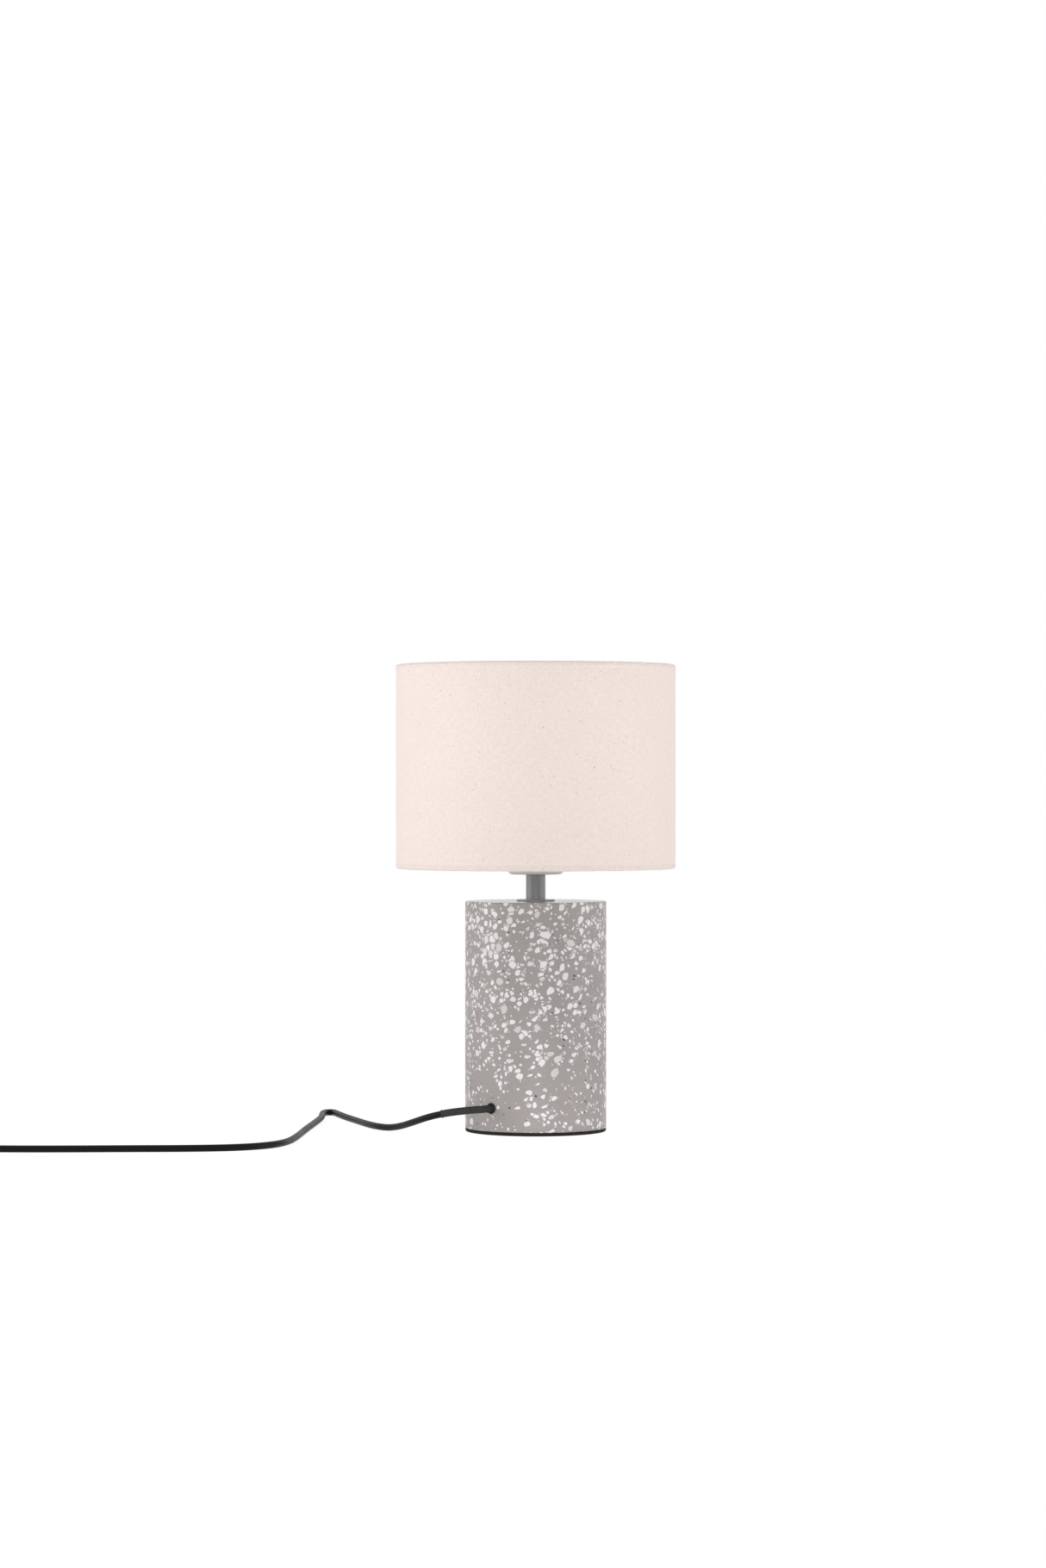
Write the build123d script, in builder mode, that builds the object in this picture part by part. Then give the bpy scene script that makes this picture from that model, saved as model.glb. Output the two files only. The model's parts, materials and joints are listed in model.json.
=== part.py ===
from build123d import *
import math
import os

# Table lamp with a drum shade: terrazzo base, short stem, screw lampholder and bulb,
# and a mains lead with an in-line switch and a plug.
# Millimetres. The origin is the centre of the lamp's underside, +Z is up and -Y is the front.

# Terrazzo base and the pad under it
base_diameter = 101.0
base_height = 162.0
base_edge_radius = 0.6
pad_thickness = 2.5
pad_edge_radius = 1.2
pad_inset = 0.2
recess_diameter = 64.0
recess_depth = 48.0

# Hole in the base's wall for the lead, measured round from the front and up from the table
cord_hole_diameter = 8.0
cord_hole_height = 19.0
cord_hole_angle = 38.7
grommet_stand = 0.8
grommet_lip_radius = 0.6

# Hollow rod that clamps base, stem and lampholder together
rod_diameter = 10.0
rod_bore = 7.5
rod_clearance = 0.2
rod_below_nut = 3.0
rod_engagement = 9.0
nut_across_flats = 14.0
nut_thickness = 4.0
washer_diameter = 30.0
washer_thickness = 1.5

# Stem
flange_diameter = 27.3
flange_thickness = 1.2
stem_diameter = 14.0
stem_length = 18.0
stem_edge_radius = 0.8

# Lampholder for a 27 mm screw cap
cap_diameter = 40.0
cap_height = 28.0
cap_edge_radius = 3.0
cap_wall = 2.0
cap_floor = 3.0
boss_diameter = 18.0
boss_height = 7.0
grub_diameter = 3.0
grub_length = 3.6
body_thread_diameter = 39.0
body_thread_length = 30.0
body_thread_pitch = 2.5
body_thread_depth = 0.7
body_bore = 31.6
spigot_depth = 8.0
fit_clearance = 0.1
insert_flange_thickness = 2.0
insert_height = 10.0
insert_clearance = 0.3
shell_wall = 0.4
shell_length = 23.0
contact_width = 5.0
contact_rise = 2.0
contact_reach = 8.0
contact_foot = 4.0
contact_tip = 2.7
contact_thickness = 0.5
terminal_offset = 12.5
terminal_width = 4.5
terminal_depth = 5.0
terminal_height = 6.0
terminal_screw_diameter = 3.0
terminal_screw_length = 3.0
terminal_head_diameter = 4.4
terminal_head_height = 1.8
lead_diameter = 2.0
lead_spacing = 2.4
lead_bend_radius = 1.5
lead_entry_height = 4.5
jacket_above_boss = 1.5

# Rings that clamp the shade to the lampholder
ring_diameter = 57.0
ring_hub_diameter = 46.0
ring_height = 7.0
ring_flange_thickness = 2.5
ring_notches = 24
ring_notch_diameter = 3.0

# Drum shade
shade_diameter = 200.0
shade_height = 146.0
fabric_thickness = 0.5
liner_thickness = 0.5
hoop_wire = 2.4
hoop_clearance = 0.15
hem_notch_width = 6.0
fitter_recess = 31.0
fitter_hole = 42.0
fitter_diameter = 62.0
fitter_thickness = 1.2
spoke_count = 3
spoke_start_angle = 90.0
spoke_wire = 3.0
spoke_bend_radius = 7.0
spoke_weld = 0.5

# Bulb
thread_diameter = 26.1
thread_pitch = 3.62
thread_depth = 0.9
thread_ridges = 5
thread_clearance = 0.1
bulb_gap = 0.1
bulb_contact_diameter = 9.0
bulb_contact_height = 1.5
insulator_height = 3.4
bulb_cap_wall = 0.5
bulb_collar_diameter = 27.2
bulb_collar_height = 2.0
bulb_collar_gap = 1.3
housing_height = 31.0
housing_top_diameter = 55.0
housing_hollow = 2.9
globe_overhang = 0.5
globe_wall = 1.2

# Mains lead
cord_diameter = 4.8
bend_share = 0.45
exit_run = 11.0
sleeve_root_diameter = 6.4
sleeve_tip_diameter = 5.6
sleeve_inset = 10.0
sleeve_corners = 3
sleeve_end_share = 0.5
grommet_clearance = 0.1
stop_diameter = 11.0
stop_width = 5.0
stop_distance = 26.0
inner_bend_radius = 20.0

# In-line switch: its middle on the table, its length along Y
switch_x = -396.6
switch_y = -104.0
switch_length = 60.0
switch_width = 26.0
switch_height = 17.0
switch_split = 7.0
switch_wall = 1.6
switch_end_wall = 6.0
switch_corner_radius = 9.0
switch_edge_radius = 2.0
pillar_diameter = 5.4
pillar_x = 8.2
pillar_y = 21.0
screw_diameter = 2.2
screw_head_diameter = 4.0
screw_head_height = 1.5
screw_bite = 6.0
rocker_length = 13.0
rocker_width = 10.4
rocker_side_gap = 0.4
rocker_end_gap = 1.3
rocker_corner_rise = 3.6
rocker_middle_rise = 2.6
rocker_skirt = 2.5
rocker_skirt_inset = 1.0
rocker_tilt = 9.0
pivot_below_top = 3.4
pivot_diameter = 2.4
pivot_clearance = 0.05
pivot_reach = 2.8
ear_thickness = 3.4
ear_half_length = 3.6
ear_drop = 3.0

# Coil of spare lead, held by a tie
coil_turn_radius = 24.0
coil_turns_per_layer = 3
coil_layers = 2
coil_y = -38.0
coil_edge_radius = 2.2
tie_width = 5.0
tie_thickness = 0.6

# Two-pin plug, pins towards -Y
plug_shift = 6.0
plug_tail_y = -94.0
plug_width = 35.4
plug_thickness = 13.7
plug_neck_width = 14.0
plug_face_length = 12.0
plug_body_length = 36.0
plug_edge_radius = 2.5
plug_tail_length = 22.0
plug_tail_root_diameter = 11.0
plug_tail_tip_diameter = 7.6
plug_cord_depth = 16.0
pin_diameter = 4.0
pin_length = 19.0
pin_spacing = 18.6
pin_core_diameter = 3.0
pin_sleeve_length = 10.0
pin_depth = 8.0
pin_tip_radius = 1.2

# Radii
base_radius = base_diameter / 2
recess_radius = recess_diameter / 2
cord_radius = cord_diameter / 2
rod_radius = rod_diameter / 2
rod_hole_radius = rod_radius + rod_clearance
shade_radius = shade_diameter / 2
cap_radius = cap_diameter / 2
cap_inner_radius = cap_radius - cap_wall
body_thread_radius = body_thread_diameter / 2
body_bore_radius = body_bore / 2
thread_radius = thread_diameter / 2
shell_bore_radius = thread_radius + thread_clearance
sleeve_root_radius = sleeve_root_diameter / 2
sleeve_tip_radius = sleeve_tip_diameter / 2

# Levels, from the table up
base_top = pad_thickness + base_height
recess_top = pad_thickness + recess_depth
nut_bottom = recess_top - washer_thickness - nut_thickness
rod_bottom = nut_bottom - rod_below_nut
flange_top = base_top + flange_thickness
stem_top = flange_top + stem_length
boss_top = stem_top + cap_floor + boss_height
rod_top = stem_top + rod_engagement
jacket_top = boss_top + jacket_above_boss
cap_top = stem_top + cap_height
spigot_bottom = cap_top - spigot_depth
insert_bottom = spigot_bottom - insert_flange_thickness
insert_top = spigot_bottom + insert_height
terminal_bottom = insert_bottom - terminal_height
body_top = cap_top + body_thread_length
fitter_bottom = cap_top + ring_height
fitter_top = fitter_bottom + fitter_thickness
shade_bottom = fitter_bottom - fitter_recess
shade_top = shade_bottom + shade_height
bulb_bottom = insert_top + contact_rise + contact_thickness + bulb_gap
insulator_bottom = bulb_bottom + bulb_contact_height
bulb_thread_bottom = insulator_bottom + insulator_height
bulb_collar_bottom = body_top + bulb_collar_gap
housing_top = bulb_collar_bottom + bulb_collar_height + housing_height


def half_circle_points(centre, radius, up):
    """Left, crown and right of a half circle about a centre (radius, height)."""
    crown = centre[1] + radius if up else centre[1] - radius
    return (centre[0] - radius, centre[1]), (centre[0], crown), (centre[0] + radius, centre[1])


def bend_radii(points):
    """The largest tangent arc that each corner of a route takes, from its shorter run and its turn."""
    radii = []
    for before, here, after in zip(points, points[1:], points[2:]):
        arriving = Vector(*here) - Vector(*before)
        leaving = Vector(*after) - Vector(*here)
        half_turn = math.radians(arriving.get_angle(leaving)) / 2
        radii.append(bend_share * min(arriving.length, leaving.length) / math.tan(half_turn))
    return radii


def write(piece, label):
    """Label a finished piece and write it as the node of that name."""
    piece.part.label = label
    export_step(piece.part, f"parts/{label}.step")


os.makedirs("parts", exist_ok=True)

# The lead's hole: a plane through the lamp's axis, facing out along the hole
hole_turn = math.radians(cord_hole_angle)
hole_direction = Vector(-math.sin(hole_turn), -math.cos(hole_turn), 0)
hole_plane = Plane(origin=(0, 0, cord_hole_height), x_dir=(0, 0, 1), z_dir=hole_direction)
cord_exit = hole_direction * base_radius + Vector(0, 0, cord_hole_height)

with BuildPart() as terrazzo_base:
    with BuildSketch(Plane.XY.offset(pad_thickness)):
        Circle(base_radius)
    extrude(amount=base_height)
    fillet(terrazzo_base.edges().filter_by(GeomType.CIRCLE), base_edge_radius)
    with BuildSketch(Plane.XY.offset(pad_thickness)):
        Circle(recess_radius)
    extrude(amount=recess_depth, mode=Mode.SUBTRACT)
    with BuildSketch(Plane.XY.offset(recess_top)):
        Circle(rod_hole_radius)
    extrude(amount=base_height, mode=Mode.SUBTRACT)
    with BuildSketch(hole_plane):
        Circle(cord_hole_diameter / 2)
    extrude(amount=base_diameter, mode=Mode.SUBTRACT)
write(terrazzo_base, "terrazzo_base")

with BuildPart() as base_pad:
    with BuildSketch():
        Circle(base_radius - pad_inset)
    extrude(amount=pad_thickness)
    fillet(base_pad.faces().sort_by(Axis.Z)[0].edges(), pad_edge_radius)
write(base_pad, "base_pad")

with BuildPart() as cord_grommet:
    with BuildSketch(hole_plane.offset(recess_radius)):
        Circle(cord_hole_diameter / 2)
        Circle(sleeve_root_radius + grommet_clearance, mode=Mode.SUBTRACT)
    extrude(amount=base_radius + grommet_stand - recess_radius)
    outer_rim = cord_grommet.faces().sort_by(Axis((0, 0, 0), tuple(hole_direction)))[-1]
    fillet(outer_rim.edges().sort_by(SortBy.RADIUS)[-1], min(grommet_lip_radius, grommet_stand))
write(cord_grommet, "cord_grommet")

# Rod, nut and washer
with BuildPart() as threaded_rod:
    with BuildSketch(Plane.XY.offset(rod_bottom)):
        Circle(rod_radius)
        Circle(rod_bore / 2, mode=Mode.SUBTRACT)
    extrude(amount=rod_top - rod_bottom)
write(threaded_rod, "threaded_rod")

with BuildPart() as rod_washer:
    with BuildSketch(Plane.XY.offset(recess_top - washer_thickness)):
        Circle(washer_diameter / 2)
        Circle(rod_hole_radius, mode=Mode.SUBTRACT)
    extrude(amount=washer_thickness)
write(rod_washer, "rod_washer")

with BuildPart() as rod_nut:
    with BuildSketch(Plane.XY.offset(nut_bottom)):
        RegularPolygon(nut_across_flats / 2, 6, major_radius=False)
        Circle(rod_radius, mode=Mode.SUBTRACT)
    extrude(amount=nut_thickness)
write(rod_nut, "rod_nut")

# Stem
with BuildPart() as stem_flange:
    with BuildSketch(Plane.XY.offset(base_top)):
        Circle(flange_diameter / 2)
        Circle(rod_hole_radius, mode=Mode.SUBTRACT)
    extrude(amount=flange_thickness)
write(stem_flange, "stem_flange")

with BuildPart() as stem_tube:
    with BuildSketch(Plane.XY.offset(flange_top)):
        Circle(stem_diameter / 2)
    extrude(amount=stem_length)
    fillet(stem_tube.faces().sort_by(Axis.Z)[-1].edges(), stem_edge_radius)
    with BuildSketch(Plane.XY.offset(flange_top)):
        Circle(rod_hole_radius)
    extrude(amount=stem_length, mode=Mode.SUBTRACT)
write(stem_tube, "stem_tube")

# Lampholder
grub_plane = Plane(origin=(0, 0, boss_top - boss_height / 2), x_dir=(0, 0, 1), z_dir=(0, 1, 0))

with BuildPart() as holder_cap:
    with BuildSketch(Plane.XY.offset(stem_top)):
        Circle(cap_radius)
    extrude(amount=cap_height)
    fillet(holder_cap.faces().sort_by(Axis.Z)[0].edges(), cap_edge_radius)
    with BuildSketch(Plane.XY.offset(stem_top + cap_floor)):
        Circle(cap_inner_radius)
    extrude(amount=cap_height, mode=Mode.SUBTRACT)
    with BuildSketch(Plane.XY.offset(stem_top + cap_floor)):
        Circle(boss_diameter / 2)
    extrude(amount=boss_height)
    with BuildSketch(Plane.XY.offset(stem_top)):
        Circle(rod_radius + fit_clearance)
    extrude(amount=cap_height, mode=Mode.SUBTRACT)
    with BuildSketch(grub_plane):
        Circle(grub_diameter / 2)
    extrude(amount=boss_diameter / 2, mode=Mode.SUBTRACT)
write(holder_cap, "holder_cap")

with BuildPart() as holder_grub_screw:
    with BuildSketch(grub_plane.offset(rod_radius)):
        Circle(grub_diameter / 2)
    extrude(amount=grub_length)
write(holder_grub_screw, "holder_grub_screw")

with BuildPart() as holder_body:
    with BuildSketch(Plane.XZ) as body_section:
        with BuildLine():
            turns = int(body_thread_length / body_thread_pitch) - 1
            land = (body_thread_length - turns * body_thread_pitch) / 2
            teeth = [(body_thread_radius, cap_top)]
            for turn in range(turns):
                foot = cap_top + land + turn * body_thread_pitch
                teeth.append((body_thread_radius, foot))
                teeth.append((body_thread_radius - body_thread_depth, foot + body_thread_pitch / 2))
            teeth.append((body_thread_radius, body_top - land))
            teeth.append((body_thread_radius, body_top))
            Polyline(
                (body_bore_radius, spigot_bottom),
                (cap_inner_radius - fit_clearance, spigot_bottom),
                (cap_inner_radius - fit_clearance, cap_top),
                *teeth,
                (body_bore_radius, body_top),
                close=True,
            )
        make_face()
    revolve(axis=Axis.Z)
write(holder_body, "holder_body")

with BuildPart() as holder_insert:
    with BuildSketch(Plane.XY.offset(insert_bottom)):
        Circle(cap_inner_radius - insert_clearance)
    extrude(amount=insert_flange_thickness)
    with BuildSketch(Plane.XY.offset(spigot_bottom)):
        Circle(body_bore_radius - insert_clearance)
    extrude(amount=insert_height)
write(holder_insert, "holder_insert")

with BuildPart() as holder_shell:
    with BuildSketch(Plane.XY.offset(insert_top)):
        Circle(body_bore_radius - insert_clearance)
        Circle(shell_bore_radius, mode=Mode.SUBTRACT)
    extrude(amount=shell_wall)
    with BuildSketch(Plane.XY.offset(insert_top)):
        Circle(shell_bore_radius + shell_wall)
        Circle(shell_bore_radius, mode=Mode.SUBTRACT)
    extrude(amount=shell_length)
write(holder_shell, "holder_shell")

with BuildPart() as centre_contact:
    with BuildSketch(Plane.XZ.offset(-contact_width / 2)):
        with BuildLine():
            Polyline(
                (contact_reach, insert_top),
                (contact_reach, insert_top + contact_thickness),
                (contact_foot, insert_top + contact_thickness),
                (0, insert_top + contact_rise + contact_thickness),
                (-contact_tip, insert_top + contact_rise + contact_thickness),
                (-contact_tip, insert_top + contact_rise),
                (0, insert_top + contact_rise),
                (contact_foot, insert_top),
                close=True,
            )
        make_face()
    extrude(amount=contact_width)
write(centre_contact, "centre_contact")

terminal_places = [(-terminal_offset, 0), (terminal_offset, 0)]

with BuildPart() as terminal_blocks:
    with BuildSketch(Plane.XY.offset(terminal_bottom)):
        with Locations(*terminal_places):
            Rectangle(terminal_width, terminal_depth)
            Circle(terminal_screw_diameter / 2, mode=Mode.SUBTRACT)
    extrude(amount=terminal_height)
write(terminal_blocks, "terminal_blocks")

with BuildPart() as terminal_screws:
    with BuildSketch(Plane.XY.offset(terminal_bottom)):
        with Locations(*terminal_places):
            Circle(terminal_screw_diameter / 2)
    extrude(amount=terminal_screw_length)
    with BuildSketch(Plane.XY.offset(terminal_bottom - terminal_head_height)):
        with Locations(*terminal_places):
            Circle(terminal_head_diameter / 2)
    extrude(amount=terminal_head_height)
write(terminal_screws, "terminal_screws")

for label, side in (("live_lead", -1), ("neutral_lead", 1)):
    lead_x = side * lead_spacing / 2
    lead_level = terminal_bottom + lead_entry_height
    with BuildPart() as lead:
        with BuildLine() as lead_path:
            FilletPolyline(
                (lead_x, 0, jacket_top),
                (lead_x, 0, lead_level),
                (side * (terminal_offset - terminal_width / 2), 0, lead_level),
                radius=lead_bend_radius,
            )
        with BuildSketch(Plane(origin=lead_path.line @ 0, z_dir=lead_path.line % 0)):
            Circle(lead_diameter / 2)
        sweep()
    write(lead, label)

# Shade rings: the same ring twice, flange towards the shade's fitter
for label, flange_bottom, hub_bottom in (
    ("lower_shade_ring", fitter_bottom - ring_flange_thickness, cap_top),
    ("upper_shade_ring", fitter_top, fitter_top),
):
    with BuildPart() as shade_ring:
        with BuildSketch(Plane.XY.offset(hub_bottom)):
            Circle(ring_hub_diameter / 2)
        extrude(amount=ring_height)
        with BuildSketch(Plane.XY.offset(flange_bottom)):
            Circle(ring_diameter / 2)
            with PolarLocations(ring_diameter / 2, ring_notches):
                Circle(ring_notch_diameter / 2, mode=Mode.SUBTRACT)
        extrude(amount=ring_flange_thickness)
        with BuildSketch(Plane.XY.offset(hub_bottom)):
            Circle(body_thread_radius + fit_clearance)
        extrude(amount=ring_height, mode=Mode.SUBTRACT)
    write(shade_ring, label)

# Shade: fabric over a liner, its edges rolled over two wire hoops
fold_width = fabric_thickness * 2 + liner_thickness + hoop_wire + hoop_clearance * 2
fold_radius = fold_width / 2
fold_inner_radius = fold_radius - fabric_thickness
fold_middle = shade_radius - fold_radius
liner_outer_radius = shade_radius - fabric_thickness
liner_inner_radius = liner_outer_radius - liner_thickness
hoop_radius = liner_inner_radius - hoop_clearance - hoop_wire / 2
bottom_hoop_level = shade_bottom + fold_radius
top_hoop_level = shade_top - fold_radius
fold_skirt = hoop_wire / 2 + fabric_thickness
spoke_leg_radius = hoop_radius - hoop_wire / 2 - spoke_wire / 2 + spoke_weld
spoke_level = (fitter_bottom + fitter_top) / 2

skirt_top = top_hoop_level - fold_skirt
skirt_bottom = bottom_hoop_level + fold_skirt
top_fold = (fold_middle, top_hoop_level)
bottom_fold = (fold_middle, bottom_hoop_level)
outer_left, crown, outer_right = half_circle_points(top_fold, fold_radius, True)
inner_left, inner_crown, inner_right = half_circle_points(top_fold, fold_inner_radius, True)
low_left, foot, low_right = half_circle_points(bottom_fold, fold_radius, False)
low_inner_left, inner_foot, low_inner_right = half_circle_points(bottom_fold, fold_inner_radius, False)

with BuildPart() as shade_fabric:
    with BuildSketch(Plane.XZ):
        with BuildLine():
            Line(low_right, outer_right)
            ThreePointArc(outer_right, crown, outer_left)
            Polyline(outer_left, (outer_left[0], skirt_top), (inner_left[0], skirt_top), inner_left)
            ThreePointArc(inner_left, inner_crown, inner_right)
            Line(inner_right, low_inner_right)
            ThreePointArc(low_inner_right, inner_foot, low_inner_left)
            Polyline(
                low_inner_left,
                (low_inner_left[0], skirt_bottom),
                (low_left[0], skirt_bottom),
                low_left,
            )
            ThreePointArc(low_left, foot, low_right)
        make_face()
    revolve(axis=Axis.Z)
    # Notches in the lower hem, one for each spoke
    with BuildSketch(Plane.XY.offset(bottom_hoop_level - hoop_wire / 2)):
        with PolarLocations(spoke_leg_radius, spoke_count, start_angle=spoke_start_angle):
            Rectangle(spoke_wire + fabric_thickness * 2, hem_notch_width)
    extrude(amount=hoop_wire + fold_skirt, mode=Mode.SUBTRACT)
write(shade_fabric, "shade_fabric")

with BuildPart() as shade_liner:
    with BuildSketch(Plane.XY.offset(bottom_hoop_level)):
        Circle(liner_outer_radius)
        Circle(liner_inner_radius, mode=Mode.SUBTRACT)
    extrude(amount=top_hoop_level - bottom_hoop_level)
write(shade_liner, "shade_liner")

for label, level in (("shade_bottom_hoop", bottom_hoop_level), ("shade_top_hoop", top_hoop_level)):
    with BuildPart() as hoop:
        with BuildSketch(Plane.XZ):
            with Locations((hoop_radius, level)):
                Circle(hoop_wire / 2)
        revolve(axis=Axis.Z)
    write(hoop, label)

with BuildPart() as shade_fitter:
    with BuildSketch(Plane.XY.offset(fitter_bottom)):
        Circle(fitter_diameter / 2)
        Circle(fitter_hole / 2, mode=Mode.SUBTRACT)
    extrude(amount=fitter_thickness)
write(shade_fitter, "shade_fitter")

for number in range(spoke_count):
    spoke_turn = math.radians(spoke_start_angle + number * 360 / spoke_count)
    outward = Vector(math.cos(spoke_turn), math.sin(spoke_turn), 0)
    level = Vector(0, 0, spoke_level)
    with BuildPart() as spoke:
        with BuildLine() as spoke_path:
            FilletPolyline(
                outward * (fitter_diameter / 2 - spoke_weld) + level,
                outward * spoke_leg_radius + level,
                outward * spoke_leg_radius + Vector(0, 0, bottom_hoop_level - hoop_wire / 2),
                radius=spoke_bend_radius,
            )
        with BuildSketch(Plane(origin=spoke_path.line @ 0, z_dir=spoke_path.line % 0)):
            Circle(spoke_wire / 2)
        sweep()
    write(spoke, f"shade_spoke_{number + 1}")

# Bulb
with BuildPart() as bulb_contact:
    with BuildSketch(Plane.XY.offset(bulb_bottom)):
        Circle(bulb_contact_diameter / 2)
    extrude(amount=bulb_contact_height)
write(bulb_contact, "bulb_contact")

thread_root_radius = thread_radius - thread_depth
cap_bore_radius = thread_root_radius - bulb_cap_wall

with BuildPart() as bulb_insulator:
    with BuildSketch(Plane.XY.offset(insulator_bottom)):
        Circle(bulb_contact_diameter / 2)
    with BuildSketch(Plane.XY.offset(bulb_thread_bottom)):
        Circle(cap_bore_radius)
    loft()
write(bulb_insulator, "bulb_insulator")

with BuildPart() as bulb_cap:
    with BuildSketch(Plane.XZ):
        with BuildLine():
            for ridge in range(thread_ridges):
                foot = bulb_thread_bottom + ridge * thread_pitch
                ThreePointArc(
                    (thread_root_radius, foot),
                    (thread_radius, foot + thread_pitch / 2),
                    (thread_root_radius, foot + thread_pitch),
                )
            Polyline(
                (thread_root_radius, bulb_thread_bottom + thread_ridges * thread_pitch),
                (thread_root_radius, bulb_collar_bottom),
                (cap_bore_radius, bulb_collar_bottom),
                (cap_bore_radius, bulb_thread_bottom),
                (thread_root_radius, bulb_thread_bottom),
            )
        make_face()
    revolve(axis=Axis.Z)
write(bulb_cap, "bulb_cap")

with BuildPart() as bulb_housing:
    with BuildSketch(Plane.XZ):
        with BuildLine():
            collar_top = bulb_collar_bottom + bulb_collar_height
            collar_edge = (bulb_collar_diameter / 2, collar_top)
            shoulder = (housing_top_diameter / 2, housing_top)
            Polyline(
                shoulder,
                (0, housing_top),
                (0, bulb_thread_bottom),
                (cap_bore_radius, bulb_thread_bottom),
                (cap_bore_radius, bulb_collar_bottom),
                (bulb_collar_diameter / 2, bulb_collar_bottom),
                collar_edge,
            )
            SagittaArc(collar_edge, shoulder, housing_hollow)
        make_face()
    revolve(axis=Axis.Z)
write(bulb_housing, "bulb_housing")

with BuildPart() as bulb_globe:
    rim_radius = housing_top_diameter / 2
    globe_radius = rim_radius + globe_overhang
    globe_centre = housing_top + math.sqrt(globe_radius**2 - rim_radius**2)
    with BuildSketch(Plane.XZ):
        with Locations((0, globe_centre)):
            Circle(globe_radius)
            Circle(globe_radius - globe_wall, mode=Mode.SUBTRACT)
        with Locations((globe_radius / 2, housing_top + globe_radius)):
            Rectangle(globe_radius, 2 * globe_radius, mode=Mode.INTERSECT)
    revolve(axis=Axis.Z)
write(bulb_globe, "bulb_globe")

# Mains lead from the base to the switch: points on the table, chosen by hand
table_level = cord_radius
switch_front = switch_y - switch_length / 2
switch_back = switch_y + switch_length / 2
exit_point = tuple(cord_exit)
cord_route = [
    exit_point,
    tuple(cord_exit + hole_direction * exit_run),
    (-49.5, -53.5, 18.6),
    (-63.0, -54.0, 17.0),
    (-76.0, -47.5, 13.6),
    (-86.5, -34.0, 9.0),
    (-96.0, -16.5, 4.6),
    (-105.0, -4.0, table_level),
    (-113.5, 7.5, table_level),
    (-121.0, 26.0, table_level),
    (-130.0, 57.0, table_level),
    (-139.5, 89.0, table_level),
    (-146.0, 116.0, table_level),
    (-148.5, 134.0, table_level),
    (-159.5, 133.0, table_level),
    (-158.6, 117.0, table_level),
    (-157.5, 84.0, table_level),
    (-160.5, 34.0, table_level),
    (-164.0, -20.0, table_level),
    (-166.5, -74.0, table_level),
    (-170.0, -116.0, table_level),
    (-179.0, -144.0, table_level),
    (-199.0, -163.0, table_level),
    (-230.0, -171.0, table_level),
    (-276.0, -172.5, table_level),
    (-328.0, -175.5, table_level),
    (-372.0, -174.0, table_level),
    (-387.6, -165.0, table_level),
    (switch_x, -149.4, 4.6),
    (switch_x, switch_front, switch_split),
]
cord_bends = bend_radii(cord_route)
last_sleeved = Vector(*cord_route[sleeve_corners])
first_bare = Vector(*cord_route[sleeve_corners + 1])
sleeve_tip = last_sleeved + (first_bare - last_sleeved) * sleeve_end_share
print("cord bend radii", [round(radius, 1) for radius in cord_bends])

with BuildPart() as cord:
    with BuildLine() as cord_path:
        FilletPolyline(*cord_route, radius=cord_bends)
    with BuildSketch(Plane(origin=cord_path.line @ 0, z_dir=cord_path.line % 0)):
        Circle(cord_radius)
    sweep()
write(cord, "cord")

with BuildPart() as cord_sleeve:
    with BuildLine() as sleeve_path:
        FilletPolyline(
            tuple(cord_exit - hole_direction * sleeve_inset),
            *cord_route[1 : sleeve_corners + 1],
            tuple(sleeve_tip),
            radius=cord_bends[:sleeve_corners],
        )
    root_plane = Plane(origin=sleeve_path.line @ 0, z_dir=sleeve_path.line % 0)
    tip_plane = Plane(origin=sleeve_path.line @ 1, z_dir=sleeve_path.line % 1)
    with BuildSketch(root_plane):
        Circle(sleeve_root_radius)
    with BuildSketch(tip_plane):
        Circle(sleeve_tip_radius)
    sweep(path=sleeve_path.line, multisection=True)
    with BuildSketch(root_plane):
        Circle(cord_radius)
    sweep(path=sleeve_path.line, mode=Mode.SUBTRACT)
write(cord_sleeve, "cord_sleeve")

# The lead inside the lamp: in through the hole, round in the recess and up the rod
with BuildPart() as inner_cord:
    with BuildLine() as inner_path:
        FilletPolyline(exit_point, (0, 0, cord_hole_height), (0, 0, jacket_top), radius=inner_bend_radius)
    with BuildSketch(Plane(origin=inner_path.line @ 0, z_dir=inner_path.line % 0)):
        Circle(cord_radius)
    sweep()
write(inner_cord, "inner_cord")

with BuildPart() as cord_stop:
    with BuildSketch(hole_plane.offset(stop_distance - stop_width / 2)):
        Circle(stop_diameter / 2)
        Circle(cord_radius, mode=Mode.SUBTRACT)
    extrude(amount=stop_width)
write(cord_stop, "cord_stop")

# Switch
switch_plane = Plane(origin=(switch_x, switch_y, 0))
switch_axis = Plane(origin=(switch_x, switch_front, switch_split), x_dir=(1, 0, 0), z_dir=(0, 1, 0))
cavity_width = switch_width - 2 * switch_wall
cavity_length = switch_length - 2 * switch_end_wall
cavity_corner = switch_corner_radius - switch_end_wall
pillar_places = [(pillar_x, pillar_y), (-pillar_x, -pillar_y)]
pivot_level = switch_height - pivot_below_top
opening_width = rocker_width + 2 * rocker_side_gap
opening_length = rocker_length + 2 * rocker_end_gap

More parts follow.
